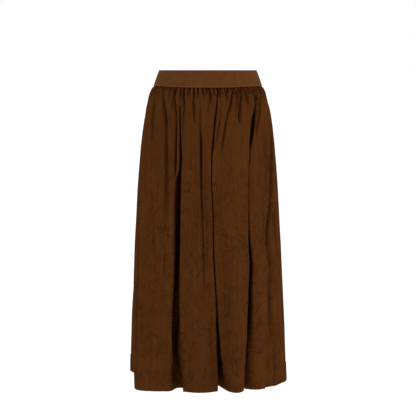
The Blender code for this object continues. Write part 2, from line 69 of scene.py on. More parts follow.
# The envelope that touches the crests, section by section down the skirt: how far it reaches each way from the
# middle, how much wider it is at the back's left, and how square each quarter is
SECTION_COLUMNS = (
    "drop", "left", "right", "front", "back", "flare", "front_left", "front_right", "back_right", "back_left",
)
SECTIONS = (
    (0.000, 0.1274, 0.1274, 0.094, 0.094, 0.000, 2.0, 2.0, 2.0, 2.0),
    (0.045, 0.1420, 0.1420, 0.108, 0.108, 0.000, 2.0, 2.0, 2.0, 2.0),
    (0.058, 0.1472, 0.1466, 0.1116, 0.1118, 0.000, 2.0, 2.0, 2.0, 2.0),
    (0.075, 0.1517, 0.1526, 0.117, 0.118, 0.000, 2.0, 2.0, 2.0, 2.0),
    (0.106, 0.1616, 0.1622, 0.122, 0.124, 0.000, 2.0, 2.0, 2.0, 2.1),
    (0.159, 0.1707, 0.1707, 0.126, 0.131, 0.000, 2.1, 2.0, 2.1, 2.2),
    (0.211, 0.1763, 0.1763, 0.129, 0.136, 0.000, 2.3, 2.0, 2.2, 2.4),
    (0.285, 0.1818, 0.1816, 0.133, 0.143, 0.000, 2.7, 2.0, 2.3, 2.7),
    (0.369, 0.1869, 0.1852, 0.137, 0.151, 0.000, 3.2, 2.1, 2.4, 3.1),
    (0.474, 0.1914, 0.1891, 0.141, 0.161, 0.007, 3.9, 2.1, 2.5, 4.0),
    (0.540, 0.1935, 0.1913, 0.143, 0.166, 0.012, 4.35, 2.15, 2.55, 4.8),
    (0.601, 0.1945, 0.1933, 0.145, 0.170, 0.016, 4.8, 2.2, 2.6, 5.6),
    (0.727, 0.1932, 0.1975, 0.148, 0.177, 0.024, 6.2, 2.2, 2.7, 7.2),
    (0.820, 0.1890, 0.2003, 0.150, 0.183, 0.030, 7.6, 2.2, 2.8, 9.0),
)
# The flare starts at this share of the way from the middle to the back
FLARE_STARTS = 0.3
# The left seam's distance behind the leftmost point, and where the right seam shows on the front, by drop
LEFT_SEAM = ((0.045, 0.016), (0.120, 0.020), (0.285, 0.026), (0.550, 0.034), (0.820, 0.040))
RIGHT_SEAM = (
    (0.045, 0.1377), (0.075, 0.1500), (0.120, 0.1580), (0.154, 0.1600), (0.257, 0.1610), (0.308, 0.1593),
    (0.346, 0.1585), (0.390, 0.1540), (0.402, 0.1525), (0.423, 0.1530), (0.448, 0.1540), (0.475, 0.1575),
    (0.502, 0.1620), (0.540, 0.1640), (0.620, 0.1670), (0.820, 0.1680),
)
# The hollows along the seams: (depth at the hem, half width)
HOLLOW_STARTS = 0.240
LEFT_SEAM_HOLLOW = (0.004, 0.050)
RIGHT_SEAM_HOLLOW = (0.016, 0.034)

# Deep folds: (drop, across), (drop, gap) and (drop, depth) tables, (drop, left, right) radii of the lips, the floor's
# radius, (drop, lean) of the floor along the skirt, and the columns of points across the fold
FOLD_COLUMNS = ("name", "place", "gap", "depth", "lips", "floor", "lean", "columns")
FRONT_FOLDS = (
    ("left_fold",
     ((0.045, -0.0700), (0.098, -0.0712), (0.160, -0.0710), (0.221, -0.0700), (0.252, -0.0712), (0.270, -0.0742),
      (0.285, -0.0762), (0.313, -0.0775), (0.374, -0.0786), (0.436, -0.0787), (0.497, -0.0793), (0.559, -0.0808),
      (0.620, -0.0816), (0.681, -0.0816), (0.712, -0.0810), (0.743, -0.0795), (0.773, -0.0786),
      (0.820, -0.0780)),
     ((0.045, 0.003), (0.098, 0.003), (0.160, 0.004), (0.200, 0.0065), (0.252, 0.007), (0.270, 0.012),
      (0.285, 0.0155), (0.313, 0.0165), (0.374, 0.0165), (0.436, 0.0150), (0.497, 0.0148), (0.559, 0.0165),
      (0.620, 0.0185), (0.681, 0.0205), (0.712, 0.0200), (0.743, 0.0205), (0.773, 0.0268), (0.820, 0.0280)),
     ((0.045, 0.0005), (0.086, 0.002), (0.105, 0.012), (0.160, 0.016), (0.200, 0.026), (0.252, 0.040),
      (0.285, 0.055), (0.550, 0.078), (0.680, 0.076), (0.760, 0.064), (0.820, 0.058)),
     ((0.045, 0.003, 0.003), (0.640, 0.003, 0.003), (0.700, 0.005, 0.013), (0.740, 0.009, 0.013),
      (0.780, 0.013, 0.003), (0.820, 0.014, 0.003)),
     0.012, ((0.250, 0.010), (0.560, 0.008), (0.712, -0.017), (0.745, -0.015), (0.800, 0.008)), 20),
    ("middle_fold",
     ((0.045, 0.0262), (0.068, 0.0246), (0.098, 0.0226), (0.129, 0.0182), (0.160, 0.0154), (0.190, 0.0134),
      (0.221, 0.0103), (0.252, 0.0098), (0.282, 0.0096), (0.313, 0.0108), (0.344, 0.0124), (0.374, 0.0138),
      (0.436, 0.0144), (0.466, 0.0150), (0.497, 0.0164), (0.528, 0.0186), (0.559, 0.0206), (0.589, 0.0220),
      (0.620, 0.0236), (0.651, 0.0245), (0.681, 0.0268), (0.712, 0.0280), (0.743, 0.0303), (0.773, 0.0330),
      (0.804, 0.0365), (0.820, 0.0380)),
     ((0.045, 0.002), (0.070, 0.002), (0.100, 0.0042), (0.129, 0.0048), (0.160, 0.0036), (0.190, 0.0058),
      (0.221, 0.0026), (0.282, 0.0020), (0.374, 0.0022), (0.500, 0.0026), (0.620, 0.0036), (0.651, 0.0056),
      (0.681, 0.0064), (0.712, 0.0086), (0.743, 0.0092), (0.773, 0.0140), (0.804, 0.0200), (0.820, 0.0240)),
     ((0.045, 0.009), (0.070, 0.012), (0.100, 0.018), (0.150, 0.018), (0.200, 0.026), (0.285, 0.050),
      (0.550, 0.092), (0.820, 0.124)),
     ((0.045, 0.003, 0.003), (0.620, 0.004, 0.002), (0.690, 0.008, 0.002), (0.735, 0.008, 0.003),
      (0.775, 0.003, 0.008), (0.820, 0.003, 0.014)),
     0.011, ((0.250, -0.012), (0.600, -0.010), (0.700, 0.012), (0.740, 0.008), (0.790, -0.016)), 20),
    ("right_fold",
     ((0.045, 0.1290), (0.068, 0.1240), (0.098, 0.1228), (0.129, 0.1178), (0.160, 0.1144), (0.190, 0.1108),
      (0.221, 0.1086), (0.252, 0.1060), (0.300, 0.1055), (0.374, 0.1056), (0.405, 0.1068), (0.436, 0.1072),
      (0.466, 0.1096), (0.497, 0.1120), (0.528, 0.1116), (0.559, 0.1100), (0.589, 0.1100), (0.620, 0.1090),
      (0.651, 0.1079), (0.681, 0.1072), (0.712, 0.1046), (0.743, 0.1020), (0.773, 0.1006), (0.804, 0.0990),
      (0.820, 0.0985)),
     ((0.045, 0.002), (0.068, 0.003), (0.098, 0.0060), (0.129, 0.0116), (0.160, 0.0116), (0.190, 0.0078),
      (0.215, 0.003), (0.380, 0.0028), (0.405, 0.0040), (0.436, 0.0058), (0.466, 0.0086), (0.497, 0.0102),
      (0.528, 0.0112), (0.559, 0.0120), (0.589, 0.0138), (0.620, 0.0152), (0.651, 0.0150), (0.681, 0.0142),
      (0.712, 0.0120), (0.743, 0.0110), (0.820, 0.0140)),
     ((0.045, 0.001), (0.068, 0.007), (0.098, 0.026), (0.129, 0.050), (0.165, 0.050), (0.192, 0.034),
      (0.218, 0.008), (0.260, 0.004), (0.350, 0.004), (0.390, 0.018), (0.440, 0.046), (0.550, 0.060),
      (0.690, 0.060), (0.745, 0.046), (0.820, 0.042)),
     ((0.045, 0.003, 0.003), (0.590, 0.003, 0.004), (0.650, 0.003, 0.008), (0.700, 0.004, 0.018),
      (0.750, 0.004, 0.028), (0.820, 0.004, 0.032)),
     0.010, ((0.100, 0.024), (0.190, 0.022), (0.300, 0.016), (0.480, 0.014), (0.560, 0.006), (0.650, 0.002),
             (0.720, -0.008)), 18),
)
BACK_FOLDS = (
    ("back_right_fold",
     ((0.045, 0.0830), (0.120, 0.0900), (0.285, 0.1010), (0.550, 0.1120), (0.820, 0.1180)),
     ((0.045, 0.003), (0.120, 0.005), (0.285, 0.009), (0.550, 0.013), (0.820, 0.022)),
     ((0.045, 0.001), (0.120, 0.010), (0.285, 0.040), (0.550, 0.062), (0.820, 0.078)),
     ((0.045, 0.003, 0.003), (0.600, 0.004, 0.004), (0.820, 0.009, 0.006)), 0.012, ((0.300, -0.012),), 20),
    ("back_middle_fold",
     ((0.045, 0.0160), (0.120, 0.0220), (0.285, 0.0280), (0.550, 0.0330), (0.820, 0.0290)),
     ((0.045, 0.003), (0.120, 0.004), (0.285, 0.004), (0.550, 0.008), (0.820, 0.020)),
     ((0.045, 0.001), (0.120, 0.012), (0.285, 0.052), (0.550, 0.086), (0.820, 0.104)),
     ((0.045, 0.003, 0.003), (0.600, 0.003, 0.004), (0.820, 0.005, 0.010)), 0.012, ((0.300, 0.012),), 22),
    ("back_left_fold",
     ((0.045, -0.0640), (0.120, -0.0620), (0.285, -0.0640), (0.550, -0.0740), (0.820, -0.0860)),
     ((0.045, 0.003), (0.120, 0.004), (0.285, 0.008), (0.550, 0.014), (0.820, 0.028)),
     ((0.045, 0.001), (0.120, 0.010), (0.285, 0.036), (0.550, 0.070), (0.820, 0.096)),
     ((0.045, 0.003, 0.003), (0.600, 0.004, 0.003), (0.820, 0.011, 0.005)), 0.013, ((0.300, -0.010),), 22),
)
# A fold's floor widens and leans, under its lips, between these depths
UNDERCUT_FROM = 0.018
UNDERCUT_BY = 0.062
BOW_STARTS = 0.120
# How far each stretch between deep folds bows out at the hem, and the columns of points across it
FRONT_STRETCHES = ((0.000, 80), (0.024, 56), (0.030, 46), (0.004, 74))
BACK_STRETCHES = ((0.008, 62), (0.018, 46), (0.016, 46), (0.012, 56))

# Creases, in millimetres: a name, half the width, and (across, drop, depth) along the path; a negative depth is a
# ridge
MILLIMETRES_IN_A_METRE = 1000.0
FRONT_CREASES = (
    ("side_dart", 3.2, ((-134, 47, 12), (-139, 90, 14), (-140.5, 103, 14), (-142.5, 121, 14), (-142.5, 142, 11),
                        (-142.5, 167, 5), (-142, 200, 0))),
    ("left_dart", 2.9, ((-117, 50, 13), (-114.6, 68, 17), (-112, 90, 16), (-110.8, 98, 14), (-108, 115, 14),
                        (-107.4, 129, 14), (-107.6, 145, 11), (-107.6, 160, 9), (-108.4, 190, 9), (-108, 221, 8),
                        (-109, 252, 7), (-109, 300, 4), (-108.5, 345, 0))),
    ("left_dart_pocket", 3.8, ((-114, 66, 0), (-112.6, 88, 10), (-111.6, 100, 15), (-109.4, 115, 13),
                               (-108.2, 129, 8), (-107.8, 148, 0))),
    ("left_valley", 6.5, ((-106, 150, 0), (-106, 220, 5), (-106.5, 300, 9), (-107, 370, 8), (-108, 430, 3),
                          (-109, 470, 0))),
    ("fold_left_edge", 2.0, ((-86.5, 49, 14), (-86.2, 68, 17), (-84, 90, 11), (-81.4, 116, 6), (-81.2, 129, 8),
                             (-81, 160, 11), (-82, 190, 13), (-82.4, 221, 15), (-82.8, 245, 13), (-84, 260, 8),
                             (-85.2, 272, 4), (-86, 284, 0))),
    ("left_pleat", 2.2, ((-62.5, 49, 13), (-63, 68, 15), (-60.8, 80, 11), (-61, 96, 7), (-63, 116, 6),
                         (-64.5, 154, 4), (-64.5, 190, 0))),
    ("first_pucker", 1.9, ((-36, 50, 9), (-37, 78, 9), (-36, 103, 8), (-35.2, 129, 4), (-35, 142, 0))),
    ("long_crease", 2.3, ((-18, 80, 0), (-19, 105, 4.5), (-20.5, 124, 4.5), (-20, 147, 4), (-18.6, 167, 8),
                          (-17.4, 186, 14), (-17.6, 221, 14.5), (-18, 252, 13), (-17.4, 300, 10), (-16.4, 344, 9.5),
                          (-14.4, 374, 7.5), (-12.8, 436, 6.5), (-11.6, 490, 7), (-10, 550, 4), (-9, 600, 0))),
    ("long_crease_slope", 7.0, ((-11, 200, 0), (-10, 260, 4), (-10, 330, 5), (-8, 400, 6), (-6, 470, 7),
                                (-4, 540, 4), (-2, 600, 0))),
    ("second_pucker", 1.7, ((6, 66, 2), (3, 85, 3.5), (0, 103, 3.5), (-1.4, 120, 0))),
    ("middle_spot", 2.0, ((31, 48, 9), (31.5, 58, 9), (30.5, 72, 1))),
    ("joining_crease", 2.0, ((38, 70, 0), (34.4, 90, 4), (30.4, 129, 5), (24, 167, 4.5), (18.5, 193, 3),
                             (15, 210, 0))),
    ("forked_pucker", 1.8, ((52, 48, 9), (49.5, 58, 8), (47, 70, 2))),
    ("right_sweep", 2.2, ((65.5, 48, 11), (61, 78, 14), (56.8, 96, 9), (52.6, 108, 7), (48, 129, 7.5), (45, 144, 8),
                          (42, 160, 8), (37.6, 190, 7.5), (34.4, 215, 0))),
    ("third_pucker", 1.7, ((78.5, 48, 8), (76.5, 70, 7), (74.5, 90, 4), (74, 112, 0))),
    ("short_dart", 2.2, ((86.5, 47, 12), (85.5, 62, 12), (84.6, 78, 12), (83, 96, 11), (81, 111, 12), (79.8, 129, 7),
                         (79.5, 142, 0))),
    ("short_dart_fork", 1.8, ((81.5, 116, 4), (83.5, 133, 4), (84.8, 144, 0))),
    ("fourth_pucker", 1.7, ((99, 52, 2), (99.2, 70, 4), (98.8, 88, 0))),
    ("outer_dart", 2.9, ((137, 50, 11), (133.6, 98, 14), (131, 129, 12), (128.2, 142, 9), (125, 160, 5),
                         (122.4, 190, 0))),
    ("outer_valley", 4.5, ((146, 150, 0), (146, 175, 3), (146, 205, 3), (146, 235, 0))),
    ("seam_crease", 4.2, ((161, 118, 0), (163, 154, 9), (164.5, 190, 22), (163.5, 221, 26), (163, 257, 26),
                          (162.5, 290, 26), (161.5, 320, 28), (161, 344, 30), (158, 374, 28), (154, 405, 16),
                          (155.5, 436, 14), (157, 466, 11), (163, 497, 10), (165, 520, 4), (166, 545, 0))),
    ("seam_valley", 5.0, ((163, 150, 0), (164.5, 190, 3), (164, 257, 4), (162, 320, 5), (158, 374, 5),
                          (155, 405, 7), (157, 436, 9), (163, 466, 11), (169, 497, 12), (171, 520, 9),
                          (168, 545, 10), (167, 575, 13), (168, 605, 13), (171, 640, 12), (173, 665, 8),
                          (174, 700, 4), (175, 735, 0))),
    ("seam_ridge", 4.5, ((151, 140, 0), (153, 175, -4), (152, 221, -5), (151, 290, -5), (149, 344, -5),
                         (146, 374, -4), (144, 405, -2), (145, 440, 0))),
    ("seam_branch", 2.2, ((156, 222, 2), (155, 250, 4), (151.4, 262, 3), (150, 275, 0))),
    ("side_sweep", 3.0, ((164, 292, 0), (167.6, 346, 4), (170.2, 372, 6), (175.6, 431, 8), (179.6, 456, 6),
                         (183, 484, 0))),
    ("side_pucker", 3.4, ((160, 612, 0), (166, 623, 2.5), (173, 634, 0))),
    ("small_diagonal", 3.0, ((170, 688, 0), (174, 698, 2.4), (178, 708, 0))),
    ("side_line", 3.0, ((177, 690, 0), (179, 717, 3), (182, 755, 6), (181.5, 785, 6), (180, 805, 3), (179, 822, 1))),
    ("side_ridge", 6.0, ((148, 600, 0), (149, 680, -3), (149, 822, -3))),
    ("side_trough", 5.0, ((158, 735, 0), (158, 780, 2), (157.5, 822, 3))),
    ("left_drag", 8.0, ((-184, 578, 0), (-170, 582, 1.4), (-156, 586, 1.0), (-142, 592, 0))),
    ("left_edge_line", 2.4, ((-173, 300, 0), (-176, 397, 4), (-180, 480, 5), (-183, 563, 5), (-184.6, 650, 5),
                             (-185.6, 740, 6), (-186, 822, 6))),
    ("left_soft_line", 3.4, ((-139, 320, 0), (-139.6, 380, 4), (-140, 450, 4), (-140, 485, 0))),
    ("left_soft_line_low", 3.4, ((-109, 420, 0), (-110, 480, 4), (-114, 520, 4), (-116, 565, 0))),
    ("left_low_line", 5.0, ((-150, 600, 0), (-151, 680, 3), (-149, 760, 3), (-149, 822, 2))),
    ("crest_hollow", 16.0, ((-30, 420, 0), (-24, 560, 3), (-22, 720, 3), (-20, 830, 2))),
    ("crest_shade", 7.0, ((8, 560, 0), (10, 640, 5), (14, 720, 7), (18, 770, 6), (22, 830, 2))),
    ("right_crest_shade", 12.0, ((70, 300, 0), (69, 450, 3), (68, 650, 2), (68, 720, 0))),
    ("crest_line_low", 3.0, ((-44, 610, 0), (-40, 660, 2.5), (-34, 700, 2.5), (-30, 742, 0))),
    ("right_low_line", 2.4, ((58, 690, 0), (60, 722, 3), (66, 756, 3), (72, 800, 0))),
)
BACK_CREASES = (
    ("back_dart", 3.4, ((118, 47, 5), (122, 110, 12), (125, 150, 10), (128, 210, 5), (129, 262, 0))),
    ("back_sweep", 2.6, ((60, 47, 5), (57, 90, 10), (54, 130, 8), (51, 205, 0))),
    ("back_pucker", 2.2, ((38, 47, 5), (37, 85, 7), (36, 120, 5), (35.5, 160, 0))),
    ("back_long_crease", 2.6, ((-10, 47, 5), (-12, 100, 10), (-14, 190, 11), (-15, 300, 9), (-16, 380, 5),
                               (-16, 430, 0))),
    ("back_short_crease", 2.4, ((-36, 47, 5), (-38, 100, 9), (-39, 150, 7), (-40, 190, 0))),
    ("back_left_dart", 2.8, ((-92, 47, 5), (-96, 100, 12), (-98, 140, 12), (-100, 190, 7), (-102, 240, 0))),
    ("back_side_dart", 2.6, ((-118, 47, 5), (-124, 95, 8), (-128, 130, 6), (-132, 170, 0))),
    ("back_crest_hollow", 16.0, ((-20, 350, 0), (-22, 560, 4), (-24, 700, 4), (-24, 830, 3))),
    ("back_left_hollow", 16.0, ((-150, 300, 0), (-149, 520, 6), (-147, 700, 6), (-146, 830, 4))),
    ("back_right_hollow", 15.0, ((158, 260, 0), (159, 480, 7), (160, 660, 7), (160, 830, 5))),
    ("back_fine_line", 2.4, ((84, 210, 0), (80, 260, 5), (74, 330, 6), (72, 400, 0))),
    ("back_low_line", 3.0, ((-38, 480, 0), (-44, 560, 5), (-46, 640, 5), (-45, 690, 0))),
    ("back_side_line", 3.0, ((-172, 250, 0), (-176, 330, 5), (-180, 420, 5), (-181, 480, 0))),
    ("back_right_line", 3.0, ((74, 520, 0), (78, 600, 4), (80, 700, 4), (80, 760, 0))),
)

# Gathers along the waist seam: widths beside each other, lengths and how often each comes, and the rest of their form
GATHERS_EACH_PANEL = 44
GATHER_WIDTHS = (0.70, 1.35)
GATHER_LENGTHS = (0.020, 0.028, 0.038, 0.052, 0.075)
GATHER_LENGTH_SHARES = (0.20, 0.28, 0.26, 0.16, 0.10)
GATHER_LENGTHS_VARY = (0.8, 1.2)
GATHER_SLANTS = (0.05, 0.32)
GATHER_SLANT_FADES = 0.04
GATHER_DEPTHS = (0.0070, 0.0115)
GATHERS_DEEPER_AT_SIDES = 0.4
GATHER_HALF_WIDTHS = (0.0016, 0.0024)
GATHER_SHOULDER = 0.22
# The share of its depth that a gather has, by metres above the seam and by share of its length below it
GATHER_ABOVE_SEAM = ((-0.008, 0.0), (-0.001, 0.8))
GATHER_BELOW_SEAM = ((0.25, 1.0), (0.6, 0.65), (1.0, 0.0))
GATHERS_FAN_OUT = (0.0, 0.02, 0.04, 0.08)
WIDTH_DRAWS = 11
SHAPE_DRAWS = 18

# Cloth between the gathers: it puffs out a little below the seam, and its ridges stand out no further than a limit
GATHER_PUFF = 0.0006
GATHER_PUFFS_BY = 0.011
GATHER_FADES_BY = 0.060
SEAM_TUCK = 0.0025
SEAM_TUCK_HEIGHT = 0.0034
RIDGE_LIMITS = (0.0016, 0.0060)
RIDGES_STAND_OUT_BY = 0.008
RIDGES_FREE_BY = 0.040

# Soft ripples: (turns across, turns down, phase, share of the height), and the bends in their lines
RIPPLES = (
    (61.0, 1.3, 0.4, 0.30), (97.0, -2.1, 1.9, 0.26), (149.0, 2.9, 4.1, 0.20), (211.0, -4.3, 2.7, 0.13),
    (283.0, 6.1, 5.2, 0.09), (37.0, 11.0, 0.9, 0.22), (71.0, -17.0, 3.3, 0.12),
)
RIPPLE_BENDS = ((0.004, 13.0, 0.7), (0.003, 29.0, 2.0))
RIPPLE_SLANT = 3.0
RIPPLE_HEIGHT = 0.001
RIPPLES_GROW_OVER = 0.05

# The hem's stitch line, and the doubled cloth that stands out below it
HEM_GROOVE = 0.0008
HEM_GROOVE_HALF_WIDTH = 0.0013
HEM_STANDS_OUT = 0.0012
HEM_STANDS_OUT_OVER = 0.004
HEM_THICKENS_OVER = 0.002

# The hem is lifted at the back's left and at the right side: (where the lift begins, how much further it is full)
BACK_LEFT_LIFT = 0.0085
LIFT_TO_BACK = (0.02, 0.08)
LIFT_TO_LEFT = (0.10, 0.06)
RIGHT_SIDE_LIFT = 0.0055
LIFT_TO_RIGHT = (0.172, 0.024)
LIFT_TO_HEM = (0.55, 0.2)

# Rows of points, by distance below the waist seam: (until here, the step between rows); those at the hem are
# measured from its stitch line
ROW_STEPS = ((0.010, 0.0014), (0.036, 0.0024), (0.110, 0.0040), (0.260, 0.0052), (0.700, 0.0068))
HEM_ROWS_START = 0.012
HEM_ROWS = (
    -0.008, -0.004, -0.0018, -0.0008, 0.0, 0.0008, 0.0018, 0.004, 0.012, 0.021, 0.030, 0.038, 0.0435, 0.0465,
)
ROWS_IN_BAND = (-0.0090, -0.0068, -0.0048, -0.0032, -0.0018, -0.0007)
COLUMNS_EVEN_TO = 0.015
COLUMNS_IN_FOLDS_FROM = 0.110

# The panels' side edges: rolled in beside the seam, then turned in as the seam's allowance
SEAM_GAP = 0.0002
EDGE_TUCK = 0.0016
EDGE_TUCK_WIDTH = 0.0022
SEAM_TURNED_IN = (0.006, 0.0025)
SEAM_TURNED_ASIDE = (0.0010, 0.0007)

# How finely curves are sampled
ENVELOPE_POINTS = 2400
STRETCH_POINTS = 420
FOLD_ARC_POINTS = 30
SAMPLES_A_COLUMN = 8
TURN_COST = 0.007
FRAME_REACH = 0.002
RADII_MARGIN = 0.96
SHARP_FROM = math.radians(75.0)
TINY = 1e-9


def smooth_step(value):
    """0 to 1 with level ends."""
    held = np.clip(value, 0.0, 1.0)
    return held * held * (3.0 - 2.0 * held)


def growing(value, begins, over):
    """0 until a value begins to count, and 1 once it is so much further on."""
    return smooth_step((value - begins) / over)


def unit(vectors):
    """Vectors, one in each row, made one long."""
    return vectors / np.maximum(np.linalg.norm(vectors, axis=1), TINY)[:, None]


def smooth_table(at, places, values):
    """Monotone cubic through a short table, level with its end values outside it."""
    places = np.asarray(places, float)
    values = np.asarray(values, float)
    steps = np.diff(places)
    slopes = np.diff(values) / steps
    tangents = np.zeros(len(values))
    same_way = slopes[:-1] * slopes[1:] > 0.0
    joined = 2.0 * slopes[:-1] * slopes[1:] / np.where(same_way, slopes[:-1] + slopes[1:], 1.0)
    tangents[1:-1] = np.where(same_way, joined, 0.0)
    tangents[0] = slopes[0]
    tangents[-1] = slopes[-1]
    at = np.clip(at, places[0], places[-1])
    index = np.clip(np.searchsorted(places, at, side="right") - 1, 0, len(steps) - 1)
    share = (at - places[index]) / steps[index]
    rise_low = tangents[index] * steps[index]
    rise_high = tangents[index + 1] * steps[index]
    cubed = share**3
    squared = share**2
    return (
        (2 * cubed - 3 * squared + 1) * values[index]
        + (cubed - 2 * squared + share) * rise_low
        + (3 * squared - 2 * cubed) * values[index + 1]
        + (cubed - squared) * rise_high
    )


def table_value(drop, rows, column=1):
    """One column's value at one drop; a table of one row holds all the way down."""
    if len(rows) == 1:
        return rows[0][column]
    return float(smooth_table(drop, [row[0] for row in rows], [row[column] for row in rows]))


def section_value(drop, column):
    """One measure of the envelope at one drop."""
    rows = np.array(SECTIONS)
    return float(smooth_table(drop, rows[:, 0], rows[:, SECTION_COLUMNS.index(column)]))


class Envelope:
    """The closed plan curve that touches the crests at one drop, by distance along it from the left seam."""

    def __init__(self, drop):
        self.drop = drop
        turn = np.linspace(0.0, 2.0 * math.pi, ENVELOPE_POINTS + 1)
        across = -np.cos(turn)
        along = -np.sin(turn)
        flare = section_value(drop, "flare") * growing(along, FLARE_STARTS, 1.0 - FLARE_STARTS)
        side = np.where(across < 0.0, section_value(drop, "left") + flare, section_value(drop, "right"))
        reach = np.where(along < 0.0, section_value(drop, "front"), section_value(drop, "back"))
        on_left = across < 0.0
        in_front = np.where(on_left, section_value(drop, "front_left"), section_value(drop, "front_right"))
        behind = np.where(on_left, section_value(drop, "back_left"), section_value(drop, "back_right"))
        square = np.where(along < 0.0, in_front, behind)
        radius = (np.abs(across / side) ** square + np.abs(along / reach) ** square) ** (-1.0 / square)
        points = np.column_stack((across * radius, along * radius))
        front_end = ENVELOPE_POINTS // 2
        lengths = np.concatenate(([0.0], np.cumsum(np.hypot(*np.diff(points, axis=0).T))))
        leftmost = front_end + int(np.argmin(points[front_end:, 0]))
        back = slice(front_end, leftmost + 1)
        self.round = lengths[-1]
        self.points = points[:-1]
        self.lengths = lengths[:-1]
        self.start = self.round - table_value(drop, LEFT_SEAM)
        self.front_points = points[: front_end + 1]
        self.front_lengths = lengths[: front_end + 1]
        self.back_points = points[back]
        self.back_lengths = lengths[back]
        self.front_length = self.place(table_value(drop, RIGHT_SEAM), True)
        self.centre = self.place(0.0, True)

    def place(self, across, on_front):
        """Distance from the left seam, through the front, of the point this far across."""
        if on_front:
            length = np.interp(across, self.front_points[:, 0], self.front_lengths)
        else:
            length = np.interp(-across, -self.back_points[:, 0], self.back_lengths)
        return (length - self.start) % self.round

    def point(self, distance):
        """Points on the curve at these distances from the left seam."""
        at = (np.asarray(distance) + self.start) % self.round
        both = [np.interp(at, self.lengths, self.points[:, k], period=self.round) for k in (0, 1)]
        return np.column_stack(both)

    def frame(self, distance):
        """Point, direction of travel and outward normal."""
        travel = self.point(distance + FRAME_REACH) - self.point(distance - FRAME_REACH)
        travel /= np.linalg.norm(travel, axis=1)[:, None]
        outward = np.column_stack((travel[:, 1], -travel[:, 0]))
        return self.point(distance), travel, outward


def scale_for_radii(half_gap, depth, lip, floor):
    """How far both radii must shrink for a straight wall to fit between a lip and the floor."""
    reach = depth * (floor + lip) - half_gap * lip
    inside = reach**2 - lip**2 * (half_gap**2 + depth**2)
    if inside <= 0.0 or reach <= 0.0:
        return 1.0
    return min(1.0, RADII_MARGIN * (reach - math.sqrt(inside)) / lip**2)


def wall_angle(across, down, lip, floor):
    """Steepness of the wall that touches the lip's circle and the floor's circle."""
    length = math.sqrt(max(across**2 + down**2 - (lip + floor) ** 2, 0.0))
    return math.atan2(lip + floor, length) - math.atan2(down, across)


def fold_section(gap, depth, lips, floor, lean):
    """Along and outward positions down one wall, round the floor and up the other, with each lip's reach."""
    undercut = float(growing(depth, UNDERCUT_FROM, UNDERCUT_BY - UNDERCUT_FROM))
    lean = lean * undercut
    floor = gap / 2 + (floor - gap / 2) * undercut
    shrink = min(
        scale_for_radii(gap / 2 + lean, depth, lips[0], floor),
        scale_for_radii(gap / 2 - lean, depth, lips[1], floor),
    )
    left_lip = lips[0] * shrink
    right_lip = lips[1] * shrink
    floor = floor * shrink
    left_reach = gap / 2 + left_lip
    right_reach = gap / 2 + right_lip
    left_angle = wall_angle(left_reach + lean, -(depth - floor - left_lip), left_lip, floor)
    right_angle = wall_angle(right_reach - lean, -(depth - floor - right_lip), right_lip, floor)
    left_arc = np.linspace(0.0, left_angle, FOLD_ARC_POINTS)
    floor_arc = np.linspace(-left_angle, right_angle, 2 * FOLD_ARC_POINTS)
    right_arc = np.linspace(right_angle, 0.0, FOLD_ARC_POINTS)
    along = np.concatenate(
        (
            -left_reach + left_lip * np.sin(left_arc),
            lean + floor * np.sin(floor_arc),
            right_reach - right_lip * np.sin(right_arc),
        )
    )
    out = np.concatenate(
        (
            -left_lip + left_lip * np.cos(left_arc),
            -(depth - floor) - floor * np.cos(floor_arc),
            -right_lip + right_lip * np.cos(right_arc),
        )
    )
    return along, out, left_reach, right_reach


def spread(points, outward, distance, count):
    """Points spaced evenly by length plus a cost for turning, so that round places get more of them."""
    steps = np.diff(points, axis=0)
    heading = np.unwrap(np.arctan2(steps[:, 1], steps[:, 0]))
    cost = np.hypot(*steps.T) + TURN_COST * np.abs(np.gradient(heading)) + TINY
    cost = np.concatenate(([0.0], np.cumsum(cost)))
    at = np.linspace(0.0, cost[-1], count + 1)
    sampled = [np.interp(at, cost, points[:, k]) for k in (0, 1)]
    more = [np.interp(at, cost, outward[:, k]) for k in (0, 1)]
    if len(distance) == len(points):
        more.append(np.interp(at, cost, distance))
    else:
        more.append(np.linspace(distance[0], distance[-1], count + 1))
    return np.column_stack(sampled), np.column_stack(more)


class Crease:
    """A trough or ridge along a smoothed path, measured on the cloth: round from the centre front, and drop."""

    TIMES_SMOOTHED = 2
    CORNERS_CUT = 0.25
    REACH = 4.0
    STEEPNESS = 1.8
    SHOULDER = 0.14
    SHOULDER_AWAY = 2.3
    SHOULDER_WIDTH = 0.8

    def __init__(self, half_width, path, shoulder=SHOULDER):
        self.half_width = half_width
        self.shoulder = shoulder
        near, far = self.CORNERS_CUT, 1.0 - self.CORNERS_CUT
        for _ in range(self.TIMES_SMOOTHED):
            cut = [path[0]]
            for first, last in zip(path, path[1:]):
                cut.append(first * far + last * near)
                cut.append(first * near + last * far)
            cut.append(path[-1])
            path = cut
        self.path = np.array(path)
        reach = self.REACH * half_width
        self.low = self.path[:, :2].min(axis=0) - reach
        self.high = self.path[:, :2].max(axis=0) + reach

    def drawn_in(self, around, drop):
        """How far the cloth is drawn in at these places of one row."""
        drawn = np.zeros(len(around))
        if not self.low[1] <= drop <= self.high[1]:
            return drawn
        near = (around >= self.low[0]) & (around <= self.high[0])
        if not near.any():
            return drawn
        at = around[near]
        nearest = np.full(len(at), np.inf)
        depth = np.zeros(len(at))
        for first, last in zip(self.path, self.path[1:]):
            step = last - first
            span = step[0] ** 2 + step[1] ** 2
            if span == 0.0:
                continue
            share = np.clip(((at - first[0]) * step[0] + (drop - first[1]) * step[1]) / span, 0.0, 1.0)
            away = (at - first[0] - share * step[0]) ** 2 + (drop - first[1] - share * step[1]) ** 2
            closer = away < nearest
            nearest = np.where(closer, away, nearest)
            depth = np.where(closer, first[2] + share * step[2], depth)
        away = np.sqrt(nearest) / self.half_width
        shoulder = np.exp(-(((away - self.SHOULDER_AWAY) / self.SHOULDER_WIDTH) ** 2))
        drawn[near] = depth * (np.exp(-(away**self.STEEPNESS)) - self.shoulder * shoulder)
        return drawn


